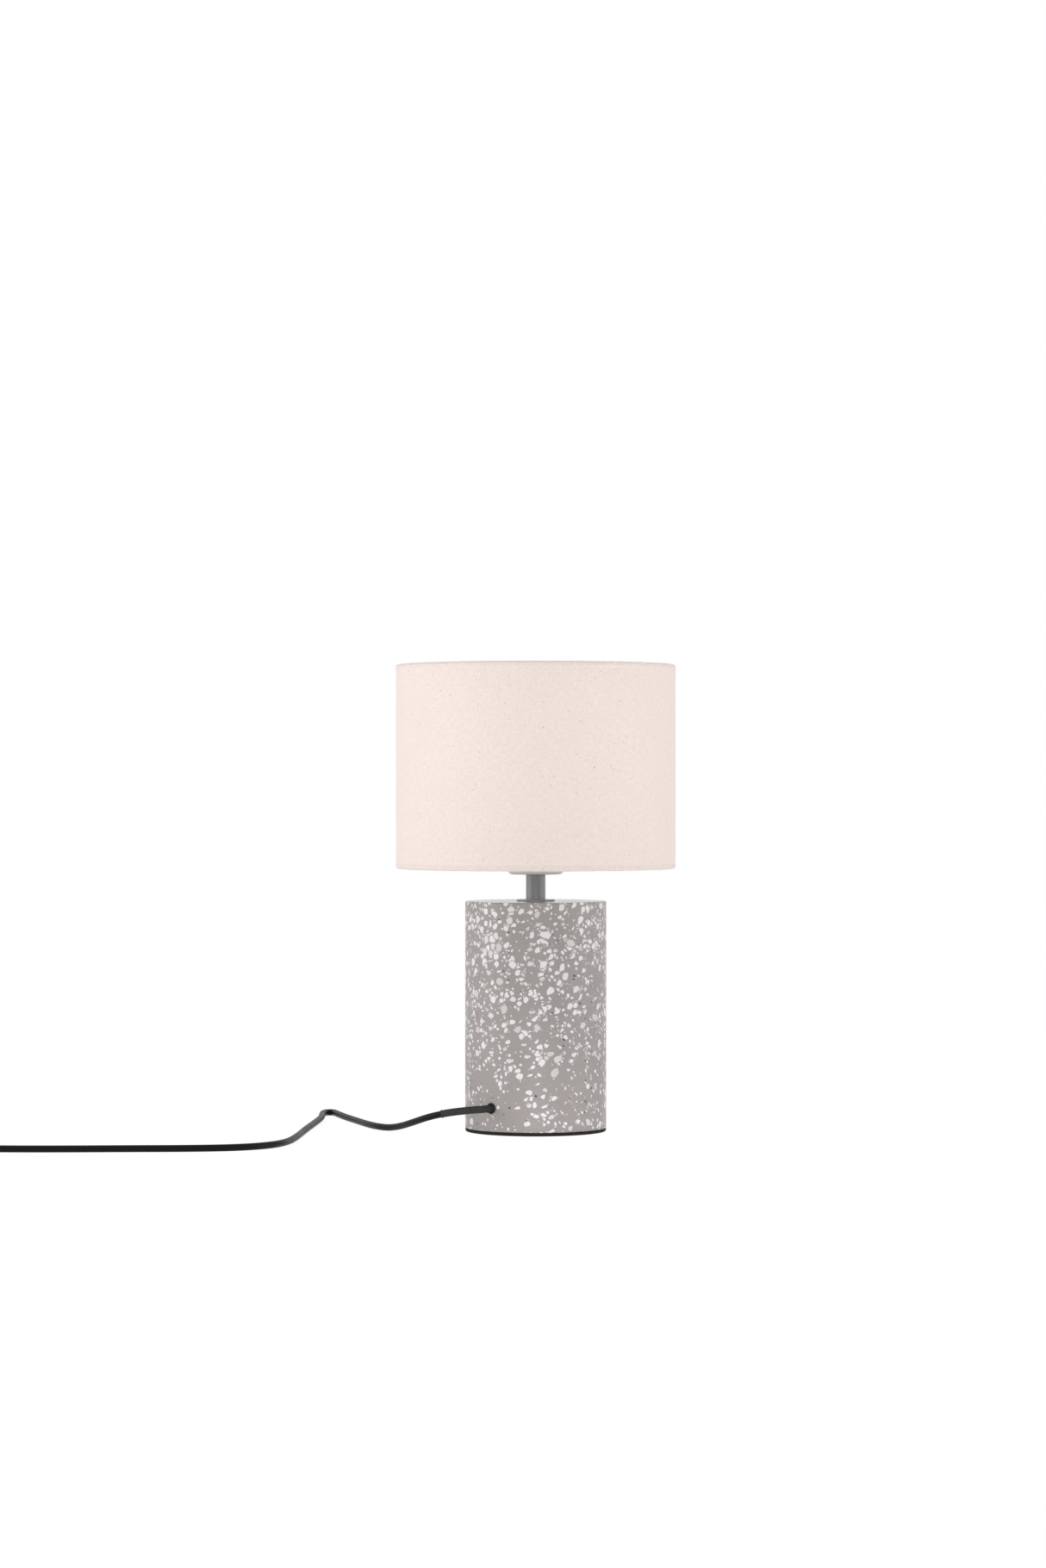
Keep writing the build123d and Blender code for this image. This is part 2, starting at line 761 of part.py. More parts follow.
with BuildPart() as switch_lower_case:
    with BuildSketch(switch_plane):
        RectangleRounded(switch_width, switch_length, switch_corner_radius)
    extrude(amount=switch_split)
    fillet(switch_lower_case.faces().sort_by(Axis.Z)[0].edges(), switch_edge_radius)
    with BuildSketch(switch_plane.offset(switch_wall)):
        RectangleRounded(cavity_width, cavity_length, cavity_corner)
    extrude(amount=switch_split, mode=Mode.SUBTRACT)
    with BuildSketch(switch_plane.offset(switch_wall)):
        with Locations(*pillar_places):
            Circle(pillar_diameter / 2)
    extrude(amount=switch_split - switch_wall)
    with BuildSketch(switch_plane):
        with Locations(*pillar_places):
            Circle(screw_diameter / 2)
    extrude(amount=switch_split, mode=Mode.SUBTRACT)
    with BuildSketch(switch_plane):
        with Locations(*pillar_places):
            Circle(screw_head_diameter / 2)
    extrude(amount=screw_head_height, mode=Mode.SUBTRACT)
    with BuildSketch(switch_axis):
        Circle(cord_radius)
    extrude(amount=switch_length, mode=Mode.SUBTRACT)
write(switch_lower_case, "switch_lower_case")

with BuildPart() as switch_upper_case:
    with BuildSketch(switch_plane.offset(switch_split)):
        RectangleRounded(switch_width, switch_length, switch_corner_radius)
    extrude(amount=switch_height - switch_split)
    fillet(switch_upper_case.faces().sort_by(Axis.Z)[-1].edges(), switch_edge_radius)
    with BuildSketch(switch_plane.offset(switch_split)):
        RectangleRounded(cavity_width, cavity_length, cavity_corner)
    extrude(amount=switch_height - switch_split - switch_wall, mode=Mode.SUBTRACT)
    with BuildSketch(switch_plane.offset(switch_split)):
        with Locations(*pillar_places):
            Circle(pillar_diameter / 2)
    extrude(amount=switch_height - switch_split - switch_wall)
    with BuildSketch(switch_plane.offset(switch_split)):
        with Locations(*pillar_places):
            Circle(screw_diameter / 2)
    extrude(amount=screw_bite, mode=Mode.SUBTRACT)
    # Ears beside the opening carry the rocker's pivots
    with BuildSketch(switch_plane.offset(pivot_level - ear_drop)):
        for side in (-1, 1):
            with Locations((side * (opening_width + ear_thickness) / 2, 0)):
                Rectangle(ear_thickness, 2 * ear_half_length)
    extrude(amount=switch_height - switch_wall - pivot_level + ear_drop)
    with BuildSketch(switch_plane.offset(switch_split)):
        Rectangle(opening_width, opening_length)
    extrude(amount=switch_height, mode=Mode.SUBTRACT)
    with BuildSketch(Plane(origin=(switch_x, switch_y, pivot_level), x_dir=(0, 1, 0), z_dir=(1, 0, 0))):
        Circle(pivot_diameter / 2 + pivot_clearance)
    extrude(amount=rocker_width / 2 + pivot_reach + pivot_clearance, both=True, mode=Mode.SUBTRACT)
    with BuildSketch(switch_axis):
        Circle(cord_radius)
    extrude(amount=switch_length, mode=Mode.SUBTRACT)
write(switch_upper_case, "switch_upper_case")

with BuildPart() as switch_rocker:
    tilt = math.radians(-rocker_tilt)
    rocker_plane = Plane(
        origin=(switch_x, switch_y, pivot_level),
        x_dir=(0, math.cos(tilt), math.sin(tilt)),
        z_dir=(1, 0, 0),
    )
    half_length = rocker_length / 2
    with BuildSketch(rocker_plane):
        with BuildLine():
            Polyline(
                (-half_length, rocker_corner_rise),
                (0, rocker_middle_rise),
                (half_length, rocker_corner_rise),
                (half_length - rocker_skirt_inset, -rocker_skirt),
                (-half_length + rocker_skirt_inset, -rocker_skirt),
                close=True,
            )
        make_face()
    extrude(amount=rocker_width / 2, both=True)
    with BuildSketch(rocker_plane):
        Circle(pivot_diameter / 2)
    extrude(amount=rocker_width / 2 + pivot_reach, both=True)
write(switch_rocker, "switch_rocker")

with BuildPart() as switch_screws:
    with BuildSketch(switch_plane):
        with Locations(*pillar_places):
            Circle(screw_head_diameter / 2)
    extrude(amount=screw_head_height)
    with BuildSketch(switch_plane):
        with Locations(*pillar_places):
            Circle(screw_diameter / 2)
    extrude(amount=switch_split + screw_bite)
write(switch_screws, "switch_screws")

# Coil and tie: turns a diameter apart, beside and on each other, resting on the tie
coil_half_width = coil_turns_per_layer * cord_radius
coil_outer_turn = coil_turn_radius + coil_half_width - cord_radius
coil_x = switch_x - coil_outer_turn
coil_height = coil_layers * cord_diameter
coil_top_layer = tie_thickness + coil_height - cord_radius
coil_bottom_layer = tie_thickness + cord_radius
coil_plane = Plane(origin=(coil_x, coil_y, tie_thickness))

with BuildPart() as cord_coil:
    with BuildSketch(coil_plane):
        Circle(coil_turn_radius + coil_half_width)
        Circle(coil_turn_radius - coil_half_width, mode=Mode.SUBTRACT)
    extrude(amount=coil_height)
    fillet(cord_coil.edges().filter_by(GeomType.CIRCLE), coil_edge_radius)
write(cord_coil, "cord_coil")

with BuildPart() as cord_tie:
    with BuildSketch(Plane(origin=(coil_x, coil_y, 0), x_dir=(0, 1, 0), z_dir=(1, 0, 0))):
        with Locations((coil_turn_radius, tie_thickness + coil_height / 2)):
            Rectangle(2 * (coil_half_width + tie_thickness), coil_height + 2 * tie_thickness)
            Rectangle(2 * coil_half_width, coil_height, mode=Mode.SUBTRACT)
    extrude(amount=tie_width / 2, both=True)
write(cord_tie, "cord_tie")

with BuildPart() as cord_tail:
    with BuildLine() as tail_path:
        tail_route = [
            (switch_x, switch_back, switch_split),
            (switch_x, switch_back + 9.0, switch_split - 0.4),
            (switch_x, switch_back + 19.0, coil_bottom_layer + 0.5),
            (switch_x, switch_back + 28.0, coil_bottom_layer),
        ]
        FilletPolyline(*tail_route, radius=bend_radii(tail_route))
    with BuildSketch(Plane(origin=tail_path.line @ 0, z_dir=tail_path.line % 0)):
        Circle(cord_radius)
    sweep()
write(cord_tail, "cord_tail")

plug_axis_level = plug_thickness / 2
coil_leaving_x = coil_x - coil_outer_turn
plug_x = coil_leaving_x + plug_shift

with BuildPart() as cord_plug_end:
    with BuildLine() as plug_end_path:
        plug_end_route = [
            (coil_leaving_x, coil_y - 8.0, coil_top_layer),
            (coil_leaving_x, coil_y - 20.0, coil_top_layer - 0.4),
            (coil_leaving_x + plug_shift / 2, coil_y - 33.0, plug_axis_level + 0.4),
            (plug_x, coil_y - 45.0, plug_axis_level),
            (plug_x, plug_tail_y, plug_axis_level),
        ]
        FilletPolyline(*plug_end_route, radius=bend_radii(plug_end_route))
    with BuildSketch(Plane(origin=plug_end_path.line @ 0, z_dir=plug_end_path.line % 0)):
        Circle(cord_radius)
    sweep()
write(cord_plug_end, "cord_plug_end")

# Plug
plug_back_y = plug_tail_y - plug_tail_length
plug_face_y = plug_back_y - plug_body_length
pin_places = [(-pin_spacing / 2, 0), (pin_spacing / 2, 0)]
plug_face = Plane(origin=(plug_x, plug_face_y, plug_axis_level), x_dir=(1, 0, 0), z_dir=(0, -1, 0))
tail_tip = Plane(origin=(plug_x, plug_tail_y, plug_axis_level), x_dir=(1, 0, 0), z_dir=(0, -1, 0))

with BuildPart() as plug_body:
    with BuildSketch(Plane(origin=(plug_x, plug_face_y, 0))):
        with BuildLine():
            Polyline(
                (-plug_width / 2, 0),
                (plug_width / 2, 0),
                (plug_width / 2, plug_face_length),
                (plug_neck_width / 2, plug_body_length),
                (-plug_neck_width / 2, plug_body_length),
                (-plug_width / 2, plug_face_length),
                close=True,
            )
        make_face()
    extrude(amount=plug_thickness)
    fillet(plug_body.edges().filter_by(Axis.Z), plug_edge_radius)
    flat_faces = plug_body.faces().filter_by(Axis.Z)
    fillet(flat_faces.edges(), plug_edge_radius)
    with BuildSketch(tail_tip):
        Circle(plug_tail_tip_diameter / 2)
    with BuildSketch(tail_tip.offset(plug_tail_length)):
        Circle(plug_tail_root_diameter / 2)
    loft()
    with BuildSketch(tail_tip):
        Circle(cord_radius)
    extrude(amount=plug_cord_depth, mode=Mode.SUBTRACT)
    with BuildSketch(plug_face.offset(-pin_depth)):
        with Locations(*pin_places):
            Circle(pin_core_diameter / 2)
    extrude(amount=pin_depth, mode=Mode.SUBTRACT)
write(plug_body, "plug_body")

with BuildPart() as plug_pins:
    with BuildSketch(plug_face.offset(pin_sleeve_length)):
        with Locations(*pin_places):
            Circle(pin_diameter / 2)
    extrude(amount=pin_length - pin_sleeve_length)
    tips = plug_pins.faces().filter_by(Axis.Y).sort_by(Axis.Y)[:2]
    fillet(tips.edges(), pin_tip_radius)
    with BuildSketch(plug_face.offset(-pin_depth)):
        with Locations(*pin_places):
            Circle(pin_core_diameter / 2)
    extrude(amount=pin_depth + pin_sleeve_length)
write(plug_pins, "plug_pins")

with BuildPart() as plug_pin_sleeves:
    with BuildSketch(plug_face):
        with Locations(*pin_places):
            Circle(pin_diameter / 2)
            Circle(pin_core_diameter / 2, mode=Mode.SUBTRACT)
    extrude(amount=pin_sleeve_length)
write(plug_pin_sleeves, "plug_pin_sleeves")

# The lead's length outside the lamp, and its tube's volume against section times length
section = math.pi * cord_radius**2
coil_length = 2 * math.pi * coil_turn_radius * coil_turns_per_layer * coil_layers
seen_length, tail_length, plug_end_length = (
    sum(edge.length for edge in path.edges()) for path in (cord_path, tail_path, plug_end_path)
)
total_length = seen_length + switch_length + tail_length + coil_length + plug_end_length
volume_ratio = cord.part.volume / (section * seen_length)
print("cord length to switch", round(seen_length, 1), "volume ratio", round(volume_ratio, 4))
print("lead length in all", round(total_length, 1))
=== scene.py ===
"""Looks of a table lamp: terrazzo base, short grey stem, cotton drum shade and black mains lead.

All sizes are metres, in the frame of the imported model: +Z up, -Y the front, origin under the base.
"""

import json
import logging
import math
from dataclasses import dataclass, field
from enum import Enum
from itertools import accumulate
from typing import Any, Callable

import bpy
from mathutils import Euler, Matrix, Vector, noise


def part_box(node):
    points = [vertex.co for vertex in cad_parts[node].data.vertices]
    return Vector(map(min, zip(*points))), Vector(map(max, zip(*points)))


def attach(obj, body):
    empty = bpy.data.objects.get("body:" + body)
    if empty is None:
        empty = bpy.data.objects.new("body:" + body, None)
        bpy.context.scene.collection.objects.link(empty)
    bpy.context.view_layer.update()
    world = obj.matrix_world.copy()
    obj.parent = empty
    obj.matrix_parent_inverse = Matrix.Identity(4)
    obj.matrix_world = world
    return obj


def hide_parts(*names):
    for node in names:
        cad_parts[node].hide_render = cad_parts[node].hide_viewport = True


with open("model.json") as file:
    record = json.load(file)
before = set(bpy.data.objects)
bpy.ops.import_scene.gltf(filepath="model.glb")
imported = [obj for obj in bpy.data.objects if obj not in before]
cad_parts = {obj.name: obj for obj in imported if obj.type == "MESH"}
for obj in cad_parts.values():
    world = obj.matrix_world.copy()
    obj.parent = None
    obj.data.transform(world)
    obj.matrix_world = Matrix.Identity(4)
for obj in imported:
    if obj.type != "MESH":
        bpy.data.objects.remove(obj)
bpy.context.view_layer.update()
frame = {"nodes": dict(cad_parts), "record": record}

log = logging.getLogger("table_lamp")

Point = tuple[float, float, float]
Profile = list[tuple[float, float]]
Colour = tuple[float, float, float]
Socket = bpy.types.NodeSocket
Group = bpy.types.NodeTree
Piece = bpy.types.Object
Place = Vector | Point
Surface = tuple[Socket, Socket, Socket]

MM = 0.001
# Points closer than this become one point.
MERGE = 0.001 * MM
# Degrees past which an edge stays sharp, on hard pieces and on cloth and ribs.
HARD_EDGE = 35.0
SOFT_EDGE = 50.0
# The middle of the lead's hole, on the base's wall.
LEAD_EXIT: Point = (-0.031575, -0.039412, 0.019)
# The level of the lead's middle where it lies on the table.
ON_TABLE = 2.4 * MM
WHITE: Colour = (1.0, 1.0, 1.0)


class Body(str, Enum):
    """The bodies that the pieces made here ride on."""

    LAMP = "lamp"
    SHADE = "shade"
    ROCKER = "rocker"


class Element(str, Enum):
    """What is picked in edit mode."""

    POINT = "VERT"
    EDGE = "EDGE"
    FACE = "FACE"


class Course(str, Enum):
    """How a curve goes through its points."""

    SMOOTH = "NURBS"
    STRAIGHT = "POLY"


def srgb(red: int, green: int, blue: int) -> Colour:
    """A colour as a screen shows it, 0 to 255, turned into linear light."""
    shares = (red / 255, green / 255, blue / 255)
    return tuple(s / 12.92 if s <= 0.04045 else ((s + 0.055) / 1.055) ** 2.4 for s in shares)


@dataclass(frozen=True)
class Spots:
    """Round spots strewn over a surface, one at most in each cell, with sizes as shares of a cell.

    Attributes:
        scale: cells in a metre.
        share: share of the cells that hold a spot.
        least: the smallest spot's radius.
        spread: how much larger the largest is.
        soft: width of a spot's soft edge.
    """

    scale: float
    share: float
    least: float
    spread: float
    soft: float


class Graph:
    """Short words for adding and joining the nodes of a material or a node group."""

    def __init__(self, tree: Group) -> None:
        """Work on one node tree."""
        self.tree = tree

    def feed(self, socket: Socket, value: Any) -> None:
        """Give a socket a link or a fixed value.

        Args:
            socket: the input to fill.
            value: another node's output, a number, or a colour or vector.
        """
        if isinstance(value, bpy.types.NodeSocket):
            self.tree.links.new(value, socket)
        elif isinstance(value, (tuple, list)) and socket.type == "RGBA":
            socket.default_value = (*value[:3], 1.0)
        else:
            socket.default_value = value

    def node(self, kind: str, inputs: dict[str | int, Any] | None = None, **settings: Any) -> bpy.types.Node:
        """Add a node.

        Args:
            kind: the node's type, without its ShaderNode prefix.
            inputs: values or links for its sockets, by name or number.
            settings: the node's own properties.

        Returns:
            The new node.
        """
        made = self.tree.nodes.new(f"ShaderNode{kind}")
        for name, value in settings.items():
            setattr(made, name, value)
        for name, value in (inputs or {}).items():
            self.feed(made.inputs[name], value)
        return made

    def math(self, operation: str, *values: Any) -> Socket:
        """Add a Math node with its inputs in order, and return its output."""
        return self.node("Math", dict(enumerate(values)), operation=operation).outputs[0]

    def step(self, value: Any, low: Any, high: Any, floor: Any = 0.0, ceiling: Any = 1.0) -> Socket:
        """A smooth step from floor to ceiling as a value goes from low to high."""
        inputs = {"Value": value, 1: low, 2: high, 3: floor, 4: ceiling}
        return self.node("MapRange", inputs, interpolation_type="SMOOTHSTEP").outputs["Result"]

    def mix(self, factor: Any, first: Any, second: Any, blend: str = "MIX") -> Socket:
        """Mix two colours: the first at a factor of 0, the second at 1."""
        inputs = {0: factor, 6: first, 7: second}
        return self.node("Mix", inputs, data_type="RGBA", blend_type=blend).outputs[2]

    def noise(self, place: Socket, scale: Any, detail: float = 2.0, rough: float = 0.5) -> Socket:
        """Noise of so many features in a metre, about 0.5 on average."""
        inputs = {"Vector": place, "Scale": scale, "Detail": detail, "Roughness": rough}
        return self.node("TexNoise", inputs).outputs[0]

    def here(self) -> Socket:
        """The piece's own place in metres."""
        return self.node("TexCoord").outputs["Object"]

    def toned(self, colour: Any, tone: Socket) -> Socket:
        """A colour made lighter or darker by a factor."""
        grey = self.node("CombineColor", {"Red": tone, "Green": tone, "Blue": tone}).outputs[0]
        return self.mix(1.0, colour, grey, "MULTIPLY")

    def outside(self, value: Any, mask: Socket) -> Socket:
        """A value that fades to 0 where a mask is 1."""
        return self.math("MULTIPLY", value, self.math("SUBTRACT", 1.0, mask))

    def ragged(self, place: Socket, scale: float, reach: float) -> Socket:
        """A place pushed to and fro, which makes the outlines that are read there uneven.

        Args:
            place: the place.
            scale: waves in a metre.
            reach: from the farthest push one way to the farthest the other way.

        Returns:
            The pushed place's socket.
        """
        wave = self.node("TexNoise", {"Vector": place, "Scale": scale, "Detail": 1.0}).outputs["Color"]
        push = self.node("VectorMath", {0: wave, 1: (0.5, 0.5, 0.5)}, operation="SUBTRACT").outputs[0]
        inputs = {0: push, 1: (reach, reach, reach), 2: place}
        return self.node("VectorMath", inputs, operation="MULTIPLY_ADD").outputs[0]

    def cells(self, place: Socket, scale: float) -> tuple[Socket, bpy.types.NodeOutputs]:
        """Distance from the middle of a cell, and three numbers that each cell draws for itself."""
        found = self.node("TexVoronoi", {"Vector": place, "Scale": scale}, feature="F1").outputs
        return found["Distance"], self.node("SeparateColor", {0: found["Color"]}).outputs

    def spots(self, place: Socket, spots: Spots) -> tuple[Socket, Socket]:
        """Strewn spots.

        Args:
            place: where they are read.
            spots: their number and sizes.

        Returns:
            The spots' mask, and a number from 0 to 1 for each spot.
        """
        distance, draw = self.cells(place, spots.scale)
        held = self.math("LESS_THAN", draw["Red"], spots.share)
        reach = self.math("MULTIPLY_ADD", draw["Green"], spots.spread, spots.least)
        spot = self.step(distance, reach, self.math("ADD", reach, spots.soft), 1.0, 0.0)
        return self.math("MULTIPLY", held, spot), draw["Blue"]


def node_group(name: str, inputs: dict[str, str], outputs: dict[str, str]) -> tuple[Group, Graph]:
    """Start a shader node group with named sockets.

    Args:
        name: the group's name.
        inputs: each input's kind, by name.
        outputs: each output's kind, by name.

    Returns:
        The group, and a graph to fill it with.
    """
    group = bpy.data.node_groups.new(name, "ShaderNodeTree")
    for side, sockets in (("INPUT", inputs), ("OUTPUT", outputs)):
        for label, kind in sockets.items():
            group.interface.new_socket(label, in_out=side, socket_type=f"NodeSocket{kind}")
    group.nodes.new("NodeGroupInput")
    group.nodes.new("NodeGroupOutput")
    return group, Graph(group)


def surface_grain() -> Group:
    """Fine grain of moulded, painted and cast surfaces: a mottled tone, uneven gloss and a low bump.

    Returns:
        The node group, made once.
    """
    name = "surface_grain"
    if name in bpy.data.node_groups:
        return bpy.data.node_groups[name]
    numbers = ("Tone", "Gloss", "Gloss Change", "Grain", "Cloud")
    inputs = {"Colour": "Color", **{label: "Float" for label in numbers}}
    group, graph = node_group(name, inputs, {"Colour": "Color", "Roughness": "Float", "Height": "Float"})
    given, result = group.nodes["Group Input"].outputs, group.nodes["Group Output"].inputs
    place = graph.here()
    fine = graph.noise(place, given["Grain"], detail=3.0)
    cloud = graph.noise(place, given["Cloud"], detail=4.0)
    shift = graph.math("SUBTRACT", graph.math("ADD", cloud, fine), 1.0)
    tone = graph.math("MULTIPLY_ADD", shift, given["Tone"], 1.0)
    graph.feed(result["Colour"], graph.toned(given["Colour"], tone))
    gloss = graph.math("MULTIPLY_ADD", shift, given["Gloss Change"], given["Gloss"])
    graph.feed(result["Roughness"], gloss)
    graph.feed(result["Height"], fine)
    return group


def settled_dust() -> Group:
    """A thin film of pale dust on what faces up, in faint clouds.

    Returns:
        The node group, made once.
    """
    name = "settled_dust"
    if name in bpy.data.node_groups:
        return bpy.data.node_groups[name]
    dust = srgb(190, 186, 180)
    group, graph = node_group(name, {"Colour": "Color", "Amount": "Float"}, {"Colour": "Color"})
    given = group.nodes["Group Input"].outputs
    up = graph.node("SeparateXYZ", {0: graph.node("NewGeometry").outputs["Normal"]}).outputs["Z"]
    facing = graph.step(up, low=0.1, high=1.0)
    clouds = graph.noise(graph.here(), scale=160.0, detail=5.0, rough=0.65)
    film = graph.math("MULTIPLY", facing, graph.step(clouds, low=0.35, high=0.75))
    film = graph.math("MULTIPLY", film, given["Amount"])
    graph.feed(group.nodes["Group Output"].inputs[0], graph.mix(film, given["Colour"], dust))
    return group


@dataclass(frozen=True)
class Finish:
    """A finish with a mottled tone, uneven gloss and fine grain.

    Attributes:
        slot: the record's material slot.
        colour: linear base colour.
        gloss: roughness, 0 for a mirror.
        gloss_change: how much the roughness varies.
        tone: how much the colour varies.
        grain: grains in a metre.
        cloud: clouds of tone in a metre.
        bump: depth of the grain in metres.
        metallic: 1 for bare metal.
        coat: clear coat over it.
        sheen: soft sheen of cloth.
        dust: pale dust on top.
        specular: how much it mirrors when looked at straight, 0.5 for most plastics.
    """

    slot: str
    colour: Colour
    gloss: float = 0.4
    gloss_change: float = 0.1
    tone: float = 0.08
    grain: float = 900.0
    cloud: float = 40.0
    bump: float = 0.00002
    metallic: float = 0.0
    coat: float = 0.0
    sheen: float = 0.0
    dust: float = 0.0
    specular: float = 0.5

    def full_name(self) -> str:
        """The material's name, unlike any that the frame brings."""
        return f"{self.slot}_finish"

    def material(self) -> bpy.types.Material:
        """The finish as a material, made once."""
        return bpy.data.materials.get(self.full_name()) or self.paint()

    def surface(self, graph: Graph) -> Surface:
        """Build what changes over the surface, from the shared grain.

        Args:
            graph: the material's graph.

        Returns:
            The colour, the roughness and the height.
        """
        values = {
            "Colour": self.colour,
            "Tone": self.tone,
            "Gloss": self.gloss,
            "Gloss Change": self.gloss_change,
            "Grain": self.grain,
            "Cloud": self.cloud,
        }
        grain = graph.node("Group", values, node_tree=surface_grain()).outputs
        colour = grain["Colour"]
        if self.dust:
            film = {"Colour": colour, "Amount": self.dust}
            colour = graph.node("Group", film, node_tree=settled_dust()).outputs["Colour"]
        return colour, grain["Roughness"], grain["Height"]

    def paint(self) -> bpy.types.Material:
        """Build the material.

        Returns:
            The material.
        """
        made = bpy.data.materials.new(self.full_name())
        made.use_nodes = True
        graph = Graph(made.node_tree)
        colour, roughness, height = self.surface(graph)
        bump = graph.node("Bump", {"Height": height, "Distance": self.bump, "Strength": 1.0})
        sockets = {
            "Base Color": colour,
            "Roughness": roughness,
            "Normal": bump.outputs[0],
            "Metallic": self.metallic,
            "Coat Weight": self.coat,
            "Sheen Weight": self.sheen,
            "Specular IOR Level": self.specular,
        }
        for label, value in sockets.items():
            graph.feed(made.node_tree.nodes["Principled BSDF"].inputs[label], value)
        return made


@dataclass(frozen=True)
class ChipLayer:
    """One size of stone chips in the terrazzo.

    Attributes:
        size: how wide a chip's cell is, in metres.
        share: share of the cells that hold a chip where chips are most.
        thin: share of those that is left at the bottom of the base.
        girth: a chip's radius, as a share of its cell.
        stretch: how much longer than wide a chip is.
        turn: how the chips lie.
        shift: moves the pattern, so that no two layers line up.
    """

    size: float
    share: float
    thin: float
    girth: float
    stretch: float
    turn: Point
    shift: Point


@dataclass(frozen=True)
class Terrazzo(Finish):
    """Honed terrazzo: rounded white stone chips of several sizes in a grey cement, with a few black specks.

    Attributes:
        layers: the chips, fine to coarse.
        girth_least: the thinnest chip's share of its layer's girth.
        girth_spread: how much larger the thickest chip's share is.
        melt: how softly a chip's round meets its cell's edge, as a share of the cell.
        gap: half the cement between two chips of one size, as a share of their cells.
        moat: clear cement round a chip.
        edge: width of a chip's soft outline.
        warp: how far the chips' outlines are pushed out of round.
        warp_scale: waves of that push in a metre.
        bottom: the level up to which chips are fewest.
        top: the level from which chips are most.
        drift_squat: how much shorter than wide the places with more chips are, along each axis.
        drift_scale: such places in a metre.
        drift_range: the noise values at which chips are fewest and most.
        drift_crowd: share of a layer's chips that are there at each.
        chip: a chip's usual colour.
        chip_dull: the dullest chip's colour.
        dull_share: share of the chips that are duller than usual.
        blush: a rare warm chip's colour.
        blush_from: the draw from which a chip is a warm one.
        speck: a black speck's colour, also the colour towards which the painted shade in pinholes darkens.
        specks: the black specks.
        pinholes: tiny holes that air left in the cement.
        pinhole_painted_shade: how dark the painted shade in a hole is.
        hole_depth: a hole's depth, in depths of the sand's bump.
        sand: scale, detail and roughness of the cement's fine grain.
        sand_tone: how much lighter the lightest grain is.
        mottle: scale, detail and roughness of the cement's clouds.
        mottle_tone: how much lighter the lightest cloud is.
        darkest: the darkest cement, as a share of the base colour.
        chip_polish: how much glossier a chip is than cement.
        honed: the level above which the base is smooth, at the ground top face.
        honed_edge: height over which that changes.
        honed_gloss: share of the roughness that is left there.
    """

    layers: tuple[ChipLayer, ...] = (
        ChipLayer(0.0017, 0.22, 0.80, 0.37, 1.30, (0.2, 0.5, 0.0), (0.019, 0.043, 0.067)),
        ChipLayer(0.0029, 0.44, 0.66, 0.41, 1.45, (0.1, -0.8, 0.4), (0.041, 0.061, 0.007)),
        ChipLayer(0.0042, 0.56, 0.54, 0.42, 1.50, (0.3, 1.3, 0.2), (0.053, 0.017, 0.029)),
        ChipLayer(0.0056, 0.50, 0.38, 0.42, 1.35, (0.2, 0.7, 0.9), (0.031, 0.071, 0.013)),
        ChipLayer(0.0070, 0.24, 0.22, 0.42, 1.40, (0.4, -1.2, 0.2), (0.011, 0.023, 0.037)),
    )
    girth_least: float = 0.72
    girth_spread: float = 0.5
    melt: float = 0.12
    gap: float = 0.09
    moat: float = 0.0005
    edge: float = 0.00012
    warp: float = 0.0017
    warp_scale: float = 420.0
    bottom: float = 0.01
    top: float = 0.145
    drift_squat: Point = (1.0, 1.0, 1.9)
    drift_scale: float = 21.0
    drift_range: tuple[float, float] = (0.32, 0.66)
    drift_crowd: tuple[float, float] = (0.55, 1.2)
    chip: Colour = srgb(229, 226, 227)
    chip_dull: Colour = srgb(206, 201, 200)
    dull_share: float = 0.4
    blush: Colour = srgb(219, 208, 203)
    blush_from: float = 0.997
    speck: Colour = srgb(36, 32, 31)
    specks: Spots = Spots(scale=260.0, share=0.17, least=0.08, spread=0.10, soft=0.04)
    pinholes: Spots = Spots(scale=420.0, share=0.10, least=0.05, spread=0.0, soft=0.11)
    pinhole_painted_shade: float = 0.55
    hole_depth: float = 4.0
    sand: tuple[float, float, float] = (2600.0, 3.0, 0.7)
    sand_tone: float = 0.24
    mottle: tuple[float, float, float] = (55.0, 4.0, 0.6)
    mottle_tone: float = 0.16
    darkest: float = 0.80
    chip_polish: float = 0.08
    honed: float = 0.1634
    honed_edge: float = 0.0004
    honed_gloss: float = 0.4

    def chips(self, graph: Graph, place: Socket, layer: ChipLayer, crowd: Socket) -> tuple[Socket, ...]:
        """One layer of chips.

        Args:
            graph: the material's graph.
            place: where it is read, already made wavy.
            layer: the chips' size and lie.
            crowd: share of the layer's chips that are here.

        Returns:
            The chips' mask, the mask with the moat round them, and a number of its own for each chip.
        """
        size = (layer.size, layer.size, layer.size * layer.stretch)
        lie = {"Vector": place, "Location": layer.shift, "Rotation": layer.turn, "Scale": size}
        lain = graph.node("Mapping", lie, vector_type="TEXTURE").outputs[0]
        borders = {"Vector": lain, "Scale": 1.0}
        rim = graph.node("TexVoronoi", borders, feature="DISTANCE_TO_EDGE").outputs["Distance"]
        distance, draw = graph.cells(lain, 1.0)
        held = graph.math("LESS_THAN", draw["Red"], graph.math("MULTIPLY", crowd, layer.share))
        least, spread = self.girth_least * layer.girth, self.girth_spread * layer.girth
        inside = graph.math("SUBTRACT", graph.math("MULTIPLY_ADD", draw["Green"], spread, least), distance)
        depth = graph.math("SMOOTH_MIN", inside, graph.math("SUBTRACT", rim, self.gap), self.melt)
        edge, moat = self.edge / layer.size, self.moat / layer.size
        chip = graph.math("MULTIPLY", held, graph.step(depth, 0.0, edge))
        round_it = graph.math("MULTIPLY", held, graph.step(depth, -moat, edge - moat))
        return chip, round_it, draw["Blue"]

